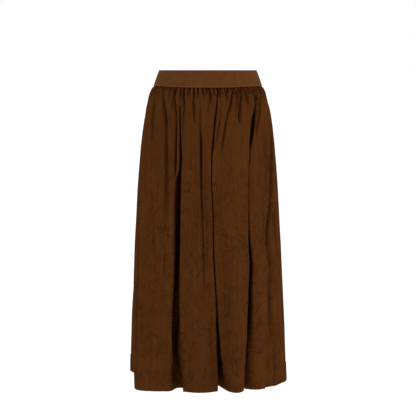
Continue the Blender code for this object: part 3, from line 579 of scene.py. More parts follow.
def listed_creases(rows, on_front):
    """Creases of a table, moved from how far across they show to how far round the cloth they lie."""
    made = []
    for _, half_width, path in rows:
        points = []
        for across, drop, depth in np.array(path) / MILLIMETRES_IN_A_METRE:
            envelope = Envelope(min(drop, LENGTH))
            points.append(np.array((float(envelope.place(across, on_front) - envelope.centre), drop, depth)))
        made.append(Crease(half_width / MILLIMETRES_IN_A_METRE, points))
    return made


def gather_creases(on_front):
    """The pinched valleys between gathers: uneven in place, length, depth and slant, often joining in pairs."""
    chance = np.random.default_rng(WIDTH_DRAWS + on_front)
    widths = chance.uniform(*GATHER_WIDTHS, GATHERS_EACH_PANEL)
    ends = np.concatenate(([0.0], np.cumsum(widths))) / widths.sum()
    chance = np.random.default_rng(SHAPE_DRAWS + on_front)
    drops = [BAND_HEIGHT + below for below in GATHERS_FAN_OUT]
    spans = []
    for envelope in [Envelope(drop) for drop in drops]:
        begin, end = (0.0, envelope.front_length) if on_front else (envelope.front_length, envelope.round)
        spans.append((begin, end - begin, envelope.centre))
    made = []
    for number, share in enumerate(ends[1:-1]):
        length = chance.choice(GATHER_LENGTHS, p=GATHER_LENGTH_SHARES) * chance.uniform(*GATHER_LENGTHS_VARY)
        slant = chance.uniform(*GATHER_SLANTS) * (1.0 if number % 2 == 0 else -1.0)
        towards_side = abs(2.0 * share - 1.0)
        depth = chance.uniform(*GATHER_DEPTHS) * (1.0 + GATHERS_DEEPER_AT_SIDES * towards_side)
        half_width = chance.uniform(*GATHER_HALF_WIDTHS)
        around = [begin + share * span - centre for begin, span, centre in spans]
        slide = slant * length
        fading = math.exp(-length / GATHER_SLANT_FADES)
        path = []
        for part, strength in (*((up / length, strength) for up, strength in GATHER_ABOVE_SEAM), *GATHER_BELOW_SEAM):
            drop = BAND_HEIGHT + length * part
            at = float(np.interp(drop, drops, around) + slide * max(part, 0.0) * fading)
            path.append(np.array((at, drop, depth * strength)))
        made.append(Crease(half_width, path, GATHER_SHOULDER))
    return made


def soft_undulation(around, drop):
    """Low, wide ripples that run down the cloth, so that no stretch is quite smooth."""
    bend = sum(width * np.sin(drop * turns + phase) for width, turns, phase in RIPPLE_BENDS)
    total = np.zeros(len(around))
    for across, down, phase, height in RIPPLES:
        total += height * np.sin((around + bend) * across + drop * down * RIPPLE_SLANT + phase)
    return RIPPLE_HEIGHT * total * float(growing(drop, BAND_HEIGHT, RIPPLES_GROW_OVER))


class Cloth:
    """Everything that shapes both panels, so that a crease can run on across a side seam."""

    def __init__(self, settings):
        self.creases = listed_creases(FRONT_CREASES, True) + listed_creases(BACK_CREASES, False)
        self.creases += gather_creases(True) + gather_creases(False)
        self.crease_depth = settings.crease_depth

    def creased(self, envelope, distance):
        """How far creases, ripples and seam hollows draw the cloth in at these distances."""
        around = distance - envelope.centre
        drawn = -soft_undulation(around, envelope.drop)
        for crease in self.creases:
            drawn += self.crease_depth * crease.drawn_in(around, envelope.drop)
            if crease.low[0] < around[-1] - envelope.round:
                drawn += self.crease_depth * crease.drawn_in(around - envelope.round, envelope.drop)
        hollowed = float(growing(envelope.drop, HOLLOW_STARTS, LENGTH - HOLLOW_STARTS))
        for seam, (depth, half_width) in ((0.0, LEFT_SEAM_HOLLOW), (envelope.front_length, RIGHT_SEAM_HOLLOW)):
            away = (distance - seam + envelope.round / 2) % envelope.round - envelope.round / 2
            drawn += depth * hollowed * np.exp(-((away / half_width) ** 2))
            drawn += EDGE_TUCK * np.exp(-np.abs(away) / EDGE_TUCK_WIDTH)
        return drawn

    def hem_shape(self, drop):
        """The groove of the hem's stitch line, and the doubled cloth standing out a little below it."""
        away = drop - HEM_LINE
        groove = HEM_GROOVE * math.exp(-((away / HEM_GROOVE_HALF_WIDTH) ** 2))
        return HEM_STANDS_OUT * float(smooth_step(away / HEM_STANDS_OUT_OVER)) - groove

    def row(self, below, on_front, folds, stretches):
        """One row of a panel: plan points, the drop of each, and how far round from the centre front it is."""
        drop = BAND_HEIGHT + below
        envelope = Envelope(drop)
        begin = SEAM_GAP / 2 if on_front else envelope.front_length + SEAM_GAP / 2
        end = (envelope.front_length if on_front else envelope.round) - SEAM_GAP / 2
        placed = []
        for row in folds:
            fold = dict(zip(FOLD_COLUMNS, row))
            section = fold_section(
                table_value(drop, fold["gap"]),
                table_value(drop, fold["depth"]),
                (table_value(drop, fold["lips"], 1), table_value(drop, fold["lips"], 2)),
                fold["floor"],
                table_value(drop, fold["lean"]),
            )
            centre = float(envelope.place(table_value(drop, fold["place"]), on_front))
            placed.append((centre, section, fold["columns"]))
        edges = [begin]
        for centre, (_, _, left_reach, right_reach), _ in placed:
            edges.extend((centre - left_reach, centre + right_reach))
        edges.append(end)
        centres = [begin] + [centre for centre, _, _ in placed] + [end]
        bowed = float(growing(drop, BOW_STARTS, LENGTH - BOW_STARTS))
        fading = 1.0 - smooth_step(below / GATHER_FADES_BY)
        puff = GATHER_PUFF * float(smooth_step(below / GATHER_PUFFS_BY) * fading)
        tuck = SEAM_TUCK * math.exp(-max(below, 0.0) / SEAM_TUCK_HEIGHT)
        ridge_limit = RIDGE_LIMITS[0] * float(smooth_step(below / RIDGES_STAND_OUT_BY))
        ridge_limit += RIDGE_LIMITS[1] * float(growing(below, RIDGES_STAND_OUT_BY, RIDGES_FREE_BY))

        def standing_out(distance):
            """How far the face stands out from the envelope at these distances."""
            out = puff - tuck + self.hem_shape(drop) - np.maximum(self.creased(envelope, distance), -ridge_limit)
            for first, last, (bow, _) in zip(centres, centres[1:], stretches):
                share = np.clip((distance - first) / (last - first), 0.0, 1.0)
                out += bow * bowed * np.sin(math.pi * share) ** 2
            return out

        all_points, all_distance, numbers = [], [], []
        first_number = 0
        for number, (_, columns) in enumerate(stretches):
            share = np.linspace(0.0, 1.0, STRETCH_POINTS)
            distance = edges[2 * number] + (edges[2 * number + 1] - edges[2 * number]) * share
            at, _, outward = envelope.frame(distance)
            parts = [(at + outward * standing_out(distance)[:, None], outward, distance, columns)]
            if number < len(placed):
                centre, (along, out, left_reach, right_reach), columns = placed[number]
                held = np.clip(along, -left_reach, right_reach)
                distance = centre + held
                at, _, outward = envelope.frame(distance)
                _, middle_travel, middle_outward = envelope.frame(np.array([centre]))
                points = (
                    at
                    + middle_outward * out[:, None]
                    + middle_travel * (along - held)[:, None]
                    + outward * standing_out(distance)[:, None]
                )
                parts.append((points, outward, np.array([centre - left_reach, centre + right_reach]), columns))
            for points, outward, distance, columns in parts:
                fine = columns * SAMPLES_A_COLUMN
                spaced, more = spread(points, outward, distance, fine)
                keep = slice(0 if first_number == 0 else 1, None)
                all_points.append(spaced[keep])
                all_distance.append(more[keep, 2])
                numbers.append((first_number + np.linspace(0, columns, fine + 1))[keep])
                first_number += columns
        points = np.concatenate(all_points)
        distance = np.concatenate(all_distance)
        numbers = np.concatenate(numbers)
        shares = np.linspace(0.0, 1.0, first_number + 1)
        even = np.interp(distance[0] + shares * (distance[-1] - distance[0]), distance, numbers)
        amount = float(growing(below, COLUMNS_EVEN_TO, COLUMNS_IN_FOLDS_FROM - COLUMNS_EVEN_TO))
        at = even * (1.0 - amount) + shares * numbers[-1] * amount
        plan = np.column_stack([np.interp(at, numbers, points[:, k]) for k in (0, 1)])
        rise = BAND_RISE_AT_SIDES * (plan[:, 0] / np.abs(plan[:, 0]).max()) ** 2
        around = np.interp(at, numbers, distance) - envelope.centre
        lift = BACK_LEFT_LIFT * growing(plan[:, 1], *LIFT_TO_BACK) * growing(-plan[:, 0], *LIFT_TO_LEFT)
        lift += RIGHT_SIDE_LIFT * growing(plan[:, 0], *LIFT_TO_RIGHT)
        drops = drop - rise * (1.0 - smooth_step(below / SEAM_RISE_FADES_BY)) - lift * growing(drop, *LIFT_TO_HEM)
        turned_in = np.array(SEAM_TURNED_IN)
        aside = np.array(SEAM_TURNED_ASIDE)
        _, travel, outward = envelope.frame(np.array([begin, end]))
        plan = np.concatenate(
            (
                plan[:1] - outward[:1] * turned_in[:, None] + travel[:1] * aside[:, None],
                plan,
                plan[-1:] - outward[1:] * turned_in[::-1, None] + travel[1:] * aside[::-1, None],
            )
        )
        around = np.concatenate((around[0] - turned_in, around, around[-1] + turned_in[::-1]))
        return plan, np.pad(drops, len(turned_in), mode="edge"), around

    def panel_grid(self, on_front):
        """Rows and columns of points of one panel's outer face, each row's distance below the waist seam, and where
        each point lies on the flat cloth."""
        belows = list(ROWS_IN_BAND)
        at = 0.0
        for until, step in ROW_STEPS:
            while at < until - step / 2:
                belows.append(at)
                at += step
        hem_top = HEM_LINE - BAND_HEIGHT
        belows = [below for below in belows if below < hem_top - HEM_ROWS_START] + [hem_top + row for row in HEM_ROWS]
        belows.append(LENGTH - BAND_HEIGHT)
        folds, stretches = (FRONT_FOLDS, FRONT_STRETCHES) if on_front else (BACK_FOLDS, BACK_STRETCHES)
        grid, cloth = [], []
        for below in belows:
            plan, drops, around = self.row(below, on_front, folds, stretches)
            grid.append(np.column_stack((plan, TOP - drops)))
            cloth.append(np.column_stack((around, np.full(len(around), BAND_HEIGHT + below))))
        return np.array(grid), np.array(belows), np.array(cloth)


def grid_normals(grid):
    """Outward normals of a grid of points whose columns run round the skirt and rows run down it."""
    normals = np.cross(np.gradient(grid, axis=0), np.gradient(grid, axis=1))
    return normals / np.maximum(np.linalg.norm(normals, axis=2), 1e-12)[:, :, None]


def shell_mesh(name, outer, inner, cloth, closed_round=False):
    """A closed shell between two grids of points, with cloth coordinates in metres as its UV map."""
    rows, columns = outer.shape[:2]
    vertices = np.concatenate((outer.reshape(-1, 3), inner.reshape(-1, 3)))
    offset = rows * columns
    wrapped = columns if closed_round else columns - 1
    first_row, first_column = np.meshgrid(np.arange(rows - 1), np.arange(wrapped), indexing="ij")
    a = (first_row * columns + first_column).ravel()
    b = (first_row * columns + (first_column + 1) % columns).ravel()
    faces = [
        np.column_stack((a, a + columns, b + columns, b)),
        np.column_stack((a, b, b + columns, a + columns)) + offset,
    ]
    column = np.arange(wrapped)
    following = (column + 1) % columns
    faces.append(np.column_stack((column, following, following + offset, column + offset)))
    last = (rows - 1) * columns
    faces.append(last + np.column_stack((column, column + offset, following + offset, following)))
    if not closed_round:
        row = np.arange(rows - 1) * columns
        faces.append(np.column_stack((row, row + offset, row + columns + offset, row + columns)))
        row = row + columns - 1
        faces.append(np.column_stack((row, row + columns, row + columns + offset, row + offset)))
    faces = np.concatenate(faces)
    mesh = bpy.data.meshes.new(name)
    mesh.from_pydata(vertices.tolist(), [], faces.tolist())
    cloth = np.concatenate((cloth.reshape(-1, 2), cloth.reshape(-1, 2)))
    layer = mesh.uv_layers.new(name="cloth")
    corners = np.zeros(len(mesh.loops), dtype=np.int32)
    mesh.loops.foreach_get("vertex_index", corners)
    layer.data.foreach_set("uv", cloth[corners].ravel())
    mesh.shade_smooth()
    mesh.set_sharp_from_angle(angle=SHARP_FROM)
    return mesh


def link_piece(name, mesh, material, replaced=()):
    """Adds a piece to the scene, riding on the skirt's one body."""
    piece = bpy.data.objects.new(name, mesh)
    bpy.context.scene.collection.objects.link(piece)
    piece.data.materials.append(material)
    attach(piece, "root")
    if replaced:
        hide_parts(*replaced)
    return piece


class Graph:
    """Short ways to add and join nodes of one material."""

    def __init__(self, name):
        self.material = bpy.data.materials.new(name)
        self.material.use_nodes = True
        self.nodes = self.material.node_tree.nodes
        self.links = self.material.node_tree.links
        self.shader = self.nodes["Principled BSDF"]

    def add(self, kind, inputs=None, **settings):
        node = self.nodes.new(kind)
        for key, value in settings.items():
            setattr(node, key, value)
        for key, value in (inputs or {}).items():
            if isinstance(value, bpy.types.NodeSocket):
                self.links.new(value, node.inputs[key])
            else:
                node.inputs[key].default_value = value
        return node

    def cloth_coordinates(self):
        return self.add("ShaderNodeUVMap", uv_map="cloth").outputs["UV"]

    def turned(self, vector, angle, scale):
        """The coordinates turned and then stretched, so that a texture runs along one direction."""
        turned = self.add("ShaderNodeVectorRotate", {"Vector": vector, "Angle": angle}, rotation_type="Z_AXIS")
        return self.vector_math("MULTIPLY", {0: turned.outputs["Vector"], 1: scale})

    def vector_math(self, operation, inputs):
        return self.add("ShaderNodeVectorMath", inputs, operation=operation).outputs["Vector"]

    def noise(self, vector, scale, detail=2.0, roughness=0.5, output="Fac"):
        inputs = {"Vector": vector, "Scale": scale, "Detail": detail, "Roughness": roughness}
        return self.add("ShaderNodeTexNoise", inputs).outputs[output]

    def wave(self, vector, scale, distortion, direction):
        inputs = {"Vector": vector, "Scale": scale, "Distortion": distortion}
        return self.add("ShaderNodeTexWave", inputs, bands_direction=direction).outputs["Fac"]

    def smooth_range(self, value, low, high):
        """0 below low and 1 above high, with a soft step between."""
        inputs = {"Value": value, "From Min": low, "From Max": high}
        return self.add("ShaderNodeMapRange", inputs, interpolation_type="SMOOTHSTEP").outputs["Result"]

    def math(self, operation, first, second=0.0, third=0.0):
        node = self.add("ShaderNodeMath", {0: first, 1: second, 2: third}, operation=operation)
        return node.outputs["Value"]

    def layered(self, value, layers):
        """A value with so much of each layer added to it."""
        for layer, amount in layers:
            value = self.math("MULTIPLY_ADD", layer, amount, value)
        return value

    def centred(self, noise):
        """A noise moved to lie round zero."""
        return self.math("SUBTRACT", noise, 0.5)

    def bump(self, height, distance, strength, normal=None):
        inputs = {"Height": height, "Distance": distance, "Strength": strength}
        if normal is not None:
            inputs["Normal"] = normal
        return self.add("ShaderNodeBump", inputs).outputs["Normal"]

    def mixed_colour(self, share, first, second):
        node = self.add("ShaderNodeMix", data_type="RGBA")
        for socket, value in ((node.inputs[0], share), (node.inputs[6], first), (node.inputs[7], second)):
            if isinstance(value, bpy.types.NodeSocket):
                self.links.new(value, socket)
            else:
                socket.default_value = value
        return node.outputs[2]

    def surface(self, colour, normal, finish):
        """Joins a colour and a normal to the shader and sets the rest of its finish."""
        self.links.new(colour, self.shader.inputs["Base Color"])
        if normal is not None:
            self.links.new(normal, self.shader.inputs["Normal"])
        for name, value in finish.items():
            self.shader.inputs[name].default_value = value
        return self.material


def shaded(colour, factor, green_factor=None):
    """A colour made darker or lighter, and its green by a factor of its own if there is one."""
    green = factor if green_factor is None else green_factor
    return (colour[0] * factor, colour[1] * green, colour[2] * factor, 1.0)


def cloth_material(settings):
    """Washed, crinkled plain weave: upright streaks, hairline creases on two slants, fine ripples and threads, with
    painted shade along the hairline creases and a painted highlight where the ripples and grain rise.
    """
    graph = Graph("washed_crinkle_cloth")
    cloth = graph.cloth_coordinates()
    drift = graph.noise(cloth, scale=9.0, detail=1.0, output="Color")
    drift = graph.vector_math("SUBTRACT", {0: drift, 1: (0.5, 0.5, 0.5)})
    drift = graph.vector_math("SCALE", {0: drift, 3: 0.012})
    wavy = graph.vector_math("ADD", {0: cloth, 1: drift})

    def stretched_noise(angle, across, down, detail=2.0):
        turned = graph.turned(wavy, math.radians(angle), (across, down, 1.0))
        return graph.noise(turned, scale=1.0, detail=detail)

    def hairlines(noise, width):
        """1 along the thin level lines of a noise, 0 elsewhere."""
        away = graph.math("ABSOLUTE", graph.centred(noise))
        return graph.math("SUBTRACT", 1.0, graph.smooth_range(away, 0.0, width))

    # Slanting hairlines: one way or the other by place, here and there, and stronger down the skirt
    side = graph.smooth_range(graph.noise(cloth, scale=9.0, detail=1.0), 0.44, 0.56)
    one_way = stretched_noise(angle=40, across=170.0, down=17.0, detail=1.0)
    other_way = stretched_noise(angle=-32, across=170.0, down=17.0, detail=1.0)
    slanted = graph.add("ShaderNodeMix", {0: side, 2: one_way, 3: other_way}, data_type="FLOAT").outputs[0]
    slanted = hairlines(slanted, width=0.040)
    drop = graph.add("ShaderNodeSeparateXYZ", {"Vector": cloth}).outputs["Y"]
    here = graph.smooth_range(graph.noise(cloth, scale=30.0, detail=1.0), 0.42, 0.58)
    here = graph.math("MULTIPLY", graph.math("SUBTRACT", 1.0, here), graph.smooth_range(drop, 0.08, 0.40))
    slanted = graph.math("MULTIPLY", slanted, here)
    upright = hairlines(stretched_noise(angle=2, across=150.0, down=7.0, detail=1.0), width=0.030)

    streaks = stretched_noise(angle=0, across=130.0, down=6.0)
    ripples = stretched_noise(angle=0, across=420.0, down=45.0)
    grain = graph.noise(cloth, scale=400.0, detail=1.0)
    patches = graph.noise(cloth, scale=7.0)
    crinkle = graph.layered(0.0, ((ripples, 0.60), (grain, 0.30), (slanted, -0.80), (upright, -0.30)))
    threads = [graph.wave(cloth, scale=330.0, distortion=0.6, direction=way) for way in ("X", "Y")]
    normal = graph.bump(crinkle, distance=0.0012, strength=0.8)
    normal = graph.bump(graph.math("MULTIPLY", *threads), distance=0.00008, strength=0.35, normal=normal)

    # The tone: the streaks and patches are the cloth's own uneven tone; the ripples and grain also raise the bump, so
    # lightening the colour with them is a painted highlight on the crinkle's crests
    layers = ((streaks, 0.85), (ripples, 0.9), (grain, 2.2), (patches, 0.5))
    tone_and_crinkle_shade = graph.layered(0.60, [(graph.centred(layer), amount) for layer, amount in layers])
    # Painted shade: the colour is darkened along the hairline creases, where the bump sinks
    tone_and_crinkle_shade = graph.layered(tone_and_crinkle_shade, ((slanted, -1.05), (upright, -0.35)))
    # The tone runs from a darker, redder colour to a lighter, yellower one; where it is painted shade or highlight,
    # these ends stand for the cloth in shade and in light
    dark = shaded(settings.cloth_colour, 0.76, green_factor=0.72)
    light = shaded(settings.cloth_colour, 1.24, green_factor=1.28)
    finish = {
        "Roughness": 0.58,
        "Specular IOR Level": 0.0,
        "Sheen Weight": 0.004,
        "Sheen Roughness": 0.45,
        "Sheen Tint": (1.0, 0.86, 0.74, 1.0),
    }
    return graph.surface(graph.mixed_colour(tone_and_crinkle_shade, dark, light), normal, finish)


def band_material(settings):
    """Smooth knitted elastic: fine upright ribs, a faint row pattern and a matt face, with a painted highlight along
    its lower edge.
    """
    graph = Graph("knitted_elastic")
    cloth = graph.cloth_coordinates()
    ribs = graph.wave(cloth, scale=240.0, distortion=0.4, direction="X")
    courses = graph.wave(cloth, scale=420.0, distortion=0.4, direction="Y")
    soft = graph.noise(graph.turned(cloth, 0.0, (60.0, 130.0, 1.0)), scale=1.0, detail=3.0, roughness=0.6)
    normal = graph.bump(soft, distance=0.0007, strength=0.35)
    normal = graph.bump(graph.layered(ribs, ((courses, 0.5),)), distance=0.00012, strength=0.4, normal=normal)
    colour = settings.band_colour
    patches = graph.layered(graph.noise(cloth, scale=70.0, detail=4.0, roughness=0.7), ((ribs, 0.10),))
    plain = graph.mixed_colour(graph.smooth_range(patches, 0.30, 0.80), shaded(colour, 0.86), shaded(colour, 1.16))
    down = graph.add("ShaderNodeSeparateXYZ", {"Vector": cloth}).outputs["Y"]
    # Painted highlight: the colour is made lighter in a strip along the band's lower edge, where the seam bead
    # catches the light
    bead_highlight = graph.smooth_range(down, *(BAND_HEIGHT - above for above in BEAD_HIGHLIGHT_EDGE))
    finish = {
        "Roughness": 0.75,
        "Specular IOR Level": 0.012,
        "Sheen Weight": 0.05,
        "Sheen Roughness": 0.40,
        "Sheen Tint": (1.0, 0.80, 0.60, 1.0),
    }
    return graph.surface(graph.mixed_colour(bead_highlight, plain, shaded(colour, 1.30)), normal, finish)


def thread_material(settings):
    """Spun thread: twisted plies along each stitch."""
    graph = Graph("sewing_thread")
    at = graph.add("ShaderNodeTexCoord").outputs["Object"]
    twist = graph.noise(at, scale=1800.0)
    colour = graph.mixed_colour(twist, shaded(settings.thread_colour, 0.8), shaded(settings.thread_colour, 1.2))
    return graph.surface(colour, graph.bump(twist, distance=0.0001, strength=0.5), {"Roughness": 0.6})


def floor_material():
    """Pale matt floor."""
    graph = Graph("pale_floor")
    at = graph.add("ShaderNodeTexCoord").outputs["Object"]
    grain = graph.noise(at, scale=40.0)
    colour = graph.mixed_colour(grain, (0.90, 0.90, 0.90, 1.0), (0.93, 0.93, 0.93, 1.0))
    return graph.surface(colour, None, {"Roughness": 0.9, "Specular IOR Level": 0.2})


class SkirtSettings(PropertyGroup):
    """Sizes and colours of the skirt that a user would change."""

    cloth_thickness: FloatProperty(
        name="Cloth thickness", description="Thickness of one layer of the skirt's cloth", default=0.0006,
        min=0.0002, max=0.002, unit="LENGTH",
    )
    hem_thickness: FloatProperty(
        name="Hem thickness", description="Thickness of the hem where the cloth is turned up", default=0.0018,
        min=0.0004, max=0.003, unit="LENGTH",
    )
    crease_depth: FloatProperty(
        name="Crease depth", description="Share of the full depth that creases and gathers have", default=1.0,
        min=0.0, max=1.5, subtype="FACTOR",
    )
    stitch_length: FloatProperty(
        name="Stitch length", description="Length of one stitch of the hem", default=0.0028, min=0.001, max=0.006,
        unit="LENGTH",
    )
    cloth_colour: FloatVectorProperty(
        name="Cloth colour", description="Colour of the skirt's cloth", default=(0.0632, 0.0208, 0.0050), size=3,
        min=0.0, max=1.0, subtype="COLOR",
    )
    band_colour: FloatVectorProperty(
        name="Waistband colour", description="Colour of the stretch waistband", default=(0.0845, 0.0300, 0.0084),
        size=3, min=0.0, max=1.0, subtype="COLOR",
    )
    thread_colour: FloatVectorProperty(
        name="Thread colour", description="Colour of the sewing thread", default=(0.100, 0.038, 0.011), size=3,
        min=0.0, max=1.0, subtype="COLOR",
    )


def make_panel(settings, name, on_front):
    """One panel's shell, with the hem's doubled cloth."""
    cloth = Cloth(settings)
    outer, belows, coordinates = cloth.panel_grid(on_front)
    in_hem = smooth_step((belows + BAND_HEIGHT - HEM_LINE + HEM_THICKENS_OVER / 2) / HEM_THICKENS_OVER)
    thickness = settings.cloth_thickness + (settings.hem_thickness - settings.cloth_thickness) * in_hem
    inner = outer - grid_normals(outer) * thickness[:, None, None]
    inner[0, :, 2] = outer[0, :, 2]
    inner[-1, :, 2] = outer[-1, :, 2]
    mesh = shell_mesh(name, outer, inner, coordinates)
    material = bpy.data.materials.get("washed_crinkle_cloth") or cloth_material(settings)
    node = name.removesuffix("_cloth")
    piece = link_piece(name, mesh, material, (node,))


class SKIRT_OT_waistband(Operator):
    """Make the stretch waistband with its rolled top edge and the seam bead along its lower edge"""

    bl_idname = "skirt.waistband"
    bl_label = "Make waistband"

    COLUMNS = 460
    ROUND = 0.84
    # Rows of points down the band, by share of its height: (from, to, how many)
    LEVELS = ((0.0, 0.09, 10), (0.13, 0.86, 13), (0.89, 1.0, 13))
    WALL = 0.0024
    WALL_SHARE_AT_TOP = 0.75
    WALL_GROWS = 0.5
    BULGE = 0.0006
    SET_IN = 0.0003
    ROLL = 0.0008
    # Lines along the band: (distance from its nearer edge, half width, height)
    TOP_GROOVE = (0.0034, 0.0008, 0.0005)
    BEAD = (0.0021, 0.0015, 0.0010)
    LOWER_GROOVE = (0.0050, 0.0009, 0.0005)
    LOWER_EDGE = 0.0010
    LOWER_EDGE_TUCK = 0.0012
    BACK_DIP = 0.0014
    BACK_DIP_OVER = 0.06

    def line(self, away, place, half_width, height):
        """A round line along the band, by distance from the edge."""
        return height * np.exp(-(((away - place) / half_width) ** 2))

    def section(self):
        """Shares of the band's height, and how far its outer face stands out at each."""
        levels = np.concatenate([np.linspace(*span) for span in self.LEVELS])
        from_top = levels * BAND_HEIGHT
        from_bottom = (1.0 - levels) * BAND_HEIGHT
        out = self.BULGE * np.sin(math.pi * levels) - self.SET_IN
        rolled = np.clip(1.0 - from_top / self.ROLL, 0.0, 1.0)
        out -= self.ROLL * (1.0 - np.sqrt(1.0 - rolled**2))
        out -= self.line(from_top, *self.TOP_GROOVE)
        out += self.line(from_bottom, *self.BEAD)
        out -= self.line(from_bottom, *self.LOWER_GROOVE)
        out -= self.LOWER_EDGE_TUCK * np.clip(1.0 - from_bottom / self.LOWER_EDGE, 0.0, 1.0) ** 2
        return levels, out

    def execute(self, context):
        settings = context.scene.skirt_settings
        shares = np.arange(self.COLUMNS) / self.COLUMNS
        outer, inner, cloth = [], [], []
        for level, stands in zip(*self.section()):
            envelope = Envelope(BAND_HEIGHT * level)
            at, _, outward = envelope.frame(shares * envelope.round)
            drops = level * (BAND_HEIGHT - BAND_RISE_AT_SIDES * (at[:, 0] / np.abs(at[:, 0]).max()) ** 2)
            drops += self.BACK_DIP * (1.0 - level) * smooth_step(at[:, 1] / self.BACK_DIP_OVER)
            outer.append(np.column_stack((at + outward * stands, TOP - drops)))
            cloth.append(np.column_stack((shares * self.ROUND, np.full(len(shares), level * BAND_HEIGHT))))
            wall = min(self.WALL, self.WALL * self.WALL_SHARE_AT_TOP + self.WALL_GROWS * level * BAND_HEIGHT)
            inner.append(np.column_stack((at - outward * wall, TOP - drops)))
        mesh = shell_mesh("waistband_elastic", np.array(outer), np.array(inner), np.array(cloth), closed_round=True)
        piece = link_piece("waistband_elastic", mesh, band_material(settings), ("waistband",))
        return {"FINISHED"}


class SKIRT_OT_front_panel(Operator):
    """Make the gathered front panel with its three deep folds and all its creases"""

    bl_idname = "skirt.front_panel"
    bl_label = "Make front panel"

    def execute(self, context):
        settings = context.scene.skirt_settings
        make_panel(settings, "front_panel_cloth", on_front=True)
        return {"FINISHED"}


class SKIRT_OT_back_panel(Operator):
    """Make the gathered back panel, folded like the front but more plainly"""

    bl_idname = "skirt.back_panel"
    bl_label = "Make back panel"

    def execute(self, context):
        settings = context.scene.skirt_settings
        make_panel(settings, "back_panel_cloth", on_front=False)
        return {"FINISHED"}


def stitch_mesh(name, lines, length, thickness, ends_sunk):
    """A spindle of thread for each stitch, its ends sunk by a share of its thickness. Each line of stitches is given
    as its points, the way out of the cloth at each, and how far apart the stitches are."""
    vertices, faces = [], []
    for points, outward, pitch in lines:
        lengths = np.concatenate(([0.0], np.cumsum(np.linalg.norm(np.diff(points, axis=0), axis=1))))
        places = np.arange(pitch, lengths[-1] - pitch, pitch)

        def read_off(values, at):
            return np.column_stack([np.interp(at, lengths, values[:, k]) for k in range(3)])

        centre = read_off(points, places)
        ahead = read_off(points, places + length / 2) - centre
        out = unit(read_off(outward, places))
        side = unit(np.cross(ahead, out))
        for middle, along, away, across in zip(centre, ahead, out, side):
            first = len(vertices)
            sunk = away * thickness * ends_sunk
            vertices.extend((middle - along - sunk, middle + along - sunk))
            for turn in (0.0, 0.5, 1.0, 1.5):
                ring = across * math.cos(turn * math.pi) + away * math.sin(turn * math.pi)
                vertices.append(middle + ring * thickness)
            for number in range(4):
                low = first + 2 + number
                high = first + 2 + (number + 1) % 4
                faces.extend(((first, high, low), (first + 1, low, high)))
    mesh = bpy.data.meshes.new(name)
    mesh.from_pydata([tuple(vertex) for vertex in vertices], [], faces)
    mesh.shade_smooth()
    return mesh


class SKIRT_OT_stitches(Operator):
    """Sew the line of stitches that holds the hem and the line along the waist seam"""

    bl_idname = "skirt.stitches"
    bl_label = "Sew stitches"

    THREAD = 0.00042
    ENDS_SUNK = 0.4
    HEM_PITCH = 0.0036
    HEM_THREAD_OUT = 0.5
    HEM_SLOPE_OVER = 0.004
    WAIST_PITCH = 0.0042
    WAIST_LINE = 0.0428
    WAIST_STANDS_OUT = 0.0009
    WAIST_POINTS = 720
    WAIST_FACES_UP = 0.25

    def hem_line(self, cloth, on_front):
        """The line of stitches along one panel's hem."""
        folds, stretches = (FRONT_FOLDS, FRONT_STRETCHES) if on_front else (BACK_FOLDS, BACK_STRETCHES)
        above, here, below = [
            cloth.row(HEM_LINE - BAND_HEIGHT + step, on_front, folds, stretches)
            for step in (-self.HEM_SLOPE_OVER, 0.0, self.HEM_SLOPE_OVER)
        ]
        points = np.column_stack((here[0], TOP - here[1]))
        upward = np.column_stack((above[0] - below[0], below[1] - above[1]))
        outward = unit(np.cross(np.gradient(points, axis=0), upward))
        return points + outward * self.THREAD * self.HEM_THREAD_OUT, outward, self.HEM_PITCH

    def waist_line(self):
        """The line of stitches round the band, just above its lower edge."""
        envelope = Envelope(self.WAIST_LINE)
        at, _, outward = envelope.frame(np.linspace(0.0, envelope.round, self.WAIST_POINTS, endpoint=False))
        rise = BAND_RISE_AT_SIDES * self.WAIST_LINE / BAND_HEIGHT * (at[:, 0] / np.abs(at[:, 0]).max()) ** 2
        points = np.column_stack((at + outward * self.WAIST_STANDS_OUT, TOP - self.WAIST_LINE + rise))
        return points, np.column_stack((outward, np.full(len(outward), self.WAIST_FACES_UP))), self.WAIST_PITCH

    def execute(self, context):
        settings = context.scene.skirt_settings
        cloth = Cloth(settings)
        lines = [self.hem_line(cloth, True), self.hem_line(cloth, False), self.waist_line()]
        mesh = stitch_mesh("seam_stitches", lines, settings.stitch_length, self.THREAD, self.ENDS_SUNK)
        link_piece("seam_stitches", mesh, thread_material(settings))
        return {"FINISHED"}


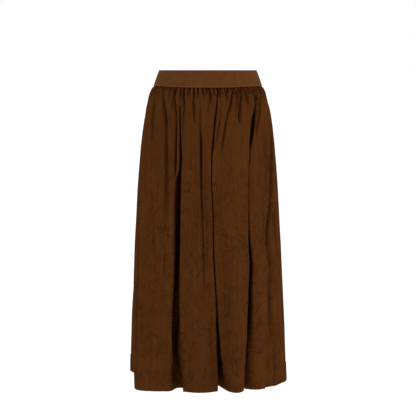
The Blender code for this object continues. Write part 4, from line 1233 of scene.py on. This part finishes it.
class SKIRT_OT_stage(Operator):
    """Set up the pale floor, the soft studio light and the camera"""

    bl_idname = "skirt.stage"
    bl_label = "Set up stage"

    FLOOR_BELOW_ORIGIN = 1.08
    FLOOR_SIZE = 4000.0
    CAMERA_ACROSS = 0.0004
    CAMERA_DISTANCE = 5.0
    SENSOR = 36.0
    LENS = 165.6
    PITCH_DOWN = math.radians(4.12)
    LIGHT_SPREAD = math.radians(50)
    # Each light's name, the way to it and its strength
    LIGHTS = (("right_light", (0.95, -0.24, 0.30), 0.90), ("top_light", (-0.15, -0.50, 0.85), 0.45))

    def light(self, scene, name, towards, strength):
        """A very wide, soft sun that shines from one side."""
        data = bpy.data.lights.new(name, "SUN")
        data.energy = strength
        data.angle = self.LIGHT_SPREAD
        lamp = bpy.data.objects.new(name, data)
        lamp.rotation_euler = (-Vector(towards)).to_track_quat("-Z", "Y").to_euler()
        scene.collection.objects.link(lamp)

    def execute(self, context):
        scene = context.scene
        bpy.ops.mesh.primitive_plane_add(size=self.FLOOR_SIZE, location=(0.0, 0.0, -self.FLOOR_BELOW_ORIGIN))
        floor = context.active_object
        floor.name = "floor"
        floor.data.materials.append(floor_material())
        world = bpy.data.worlds.new("studio")
        world.use_nodes = True
        background = world.node_tree.nodes["Background"]
        background.inputs["Color"].default_value = (1.0, 1.0, 1.0, 1.0)
        background.inputs["Strength"].default_value = 1.0
        scene.world = world
        for name, towards, strength in self.LIGHTS:
            self.light(scene, name, towards, strength)
        data = bpy.data.cameras.new("camera")
        data.sensor_width = self.SENSOR
        data.lens = self.LENS
        camera = bpy.data.objects.new("camera", data)
        camera.location = (self.CAMERA_ACROSS, -self.CAMERA_DISTANCE, TOP)
        camera.rotation_euler = (math.pi / 2 - self.PITCH_DOWN, 0.0, 0.0)
        scene.collection.objects.link(camera)
        scene.camera = camera
        scene.view_settings.view_transform = "Standard"
        return {"FINISHED"}


class SKIRT_PT_pieces(Panel):
    """Buttons for the skirt's pieces and its sizes and colours"""

    bl_idname = "SKIRT_PT_pieces"
    bl_label = "Gathered skirt"
    bl_space_type = "VIEW_3D"
    bl_region_type = "UI"
    bl_category = "Skirt"

    def draw(self, context):
        settings = context.scene.skirt_settings
        for name in SkirtSettings.__annotations__:
            self.layout.prop(settings, name)
        for operator in OPERATORS:
            self.layout.operator(operator.bl_idname)


OPERATORS = (SKIRT_OT_stage, SKIRT_OT_waistband, SKIRT_OT_front_panel, SKIRT_OT_back_panel, SKIRT_OT_stitches)
CLASSES = (SkirtSettings, *OPERATORS, SKIRT_PT_pieces)


def register():
    for each in CLASSES:
        bpy.utils.register_class(each)
    bpy.types.Scene.skirt_settings = PointerProperty(type=SkirtSettings)


def unregister():
    del bpy.types.Scene.skirt_settings
    for each in reversed(CLASSES):
        bpy.utils.unregister_class(each)


def main():
    register()
    bpy.ops.skirt.stage()
    bpy.ops.skirt.waistband()
    bpy.ops.skirt.front_panel()
    bpy.ops.skirt.back_panel()
    bpy.ops.skirt.stitches()


if __name__ == "__main__":
    main()
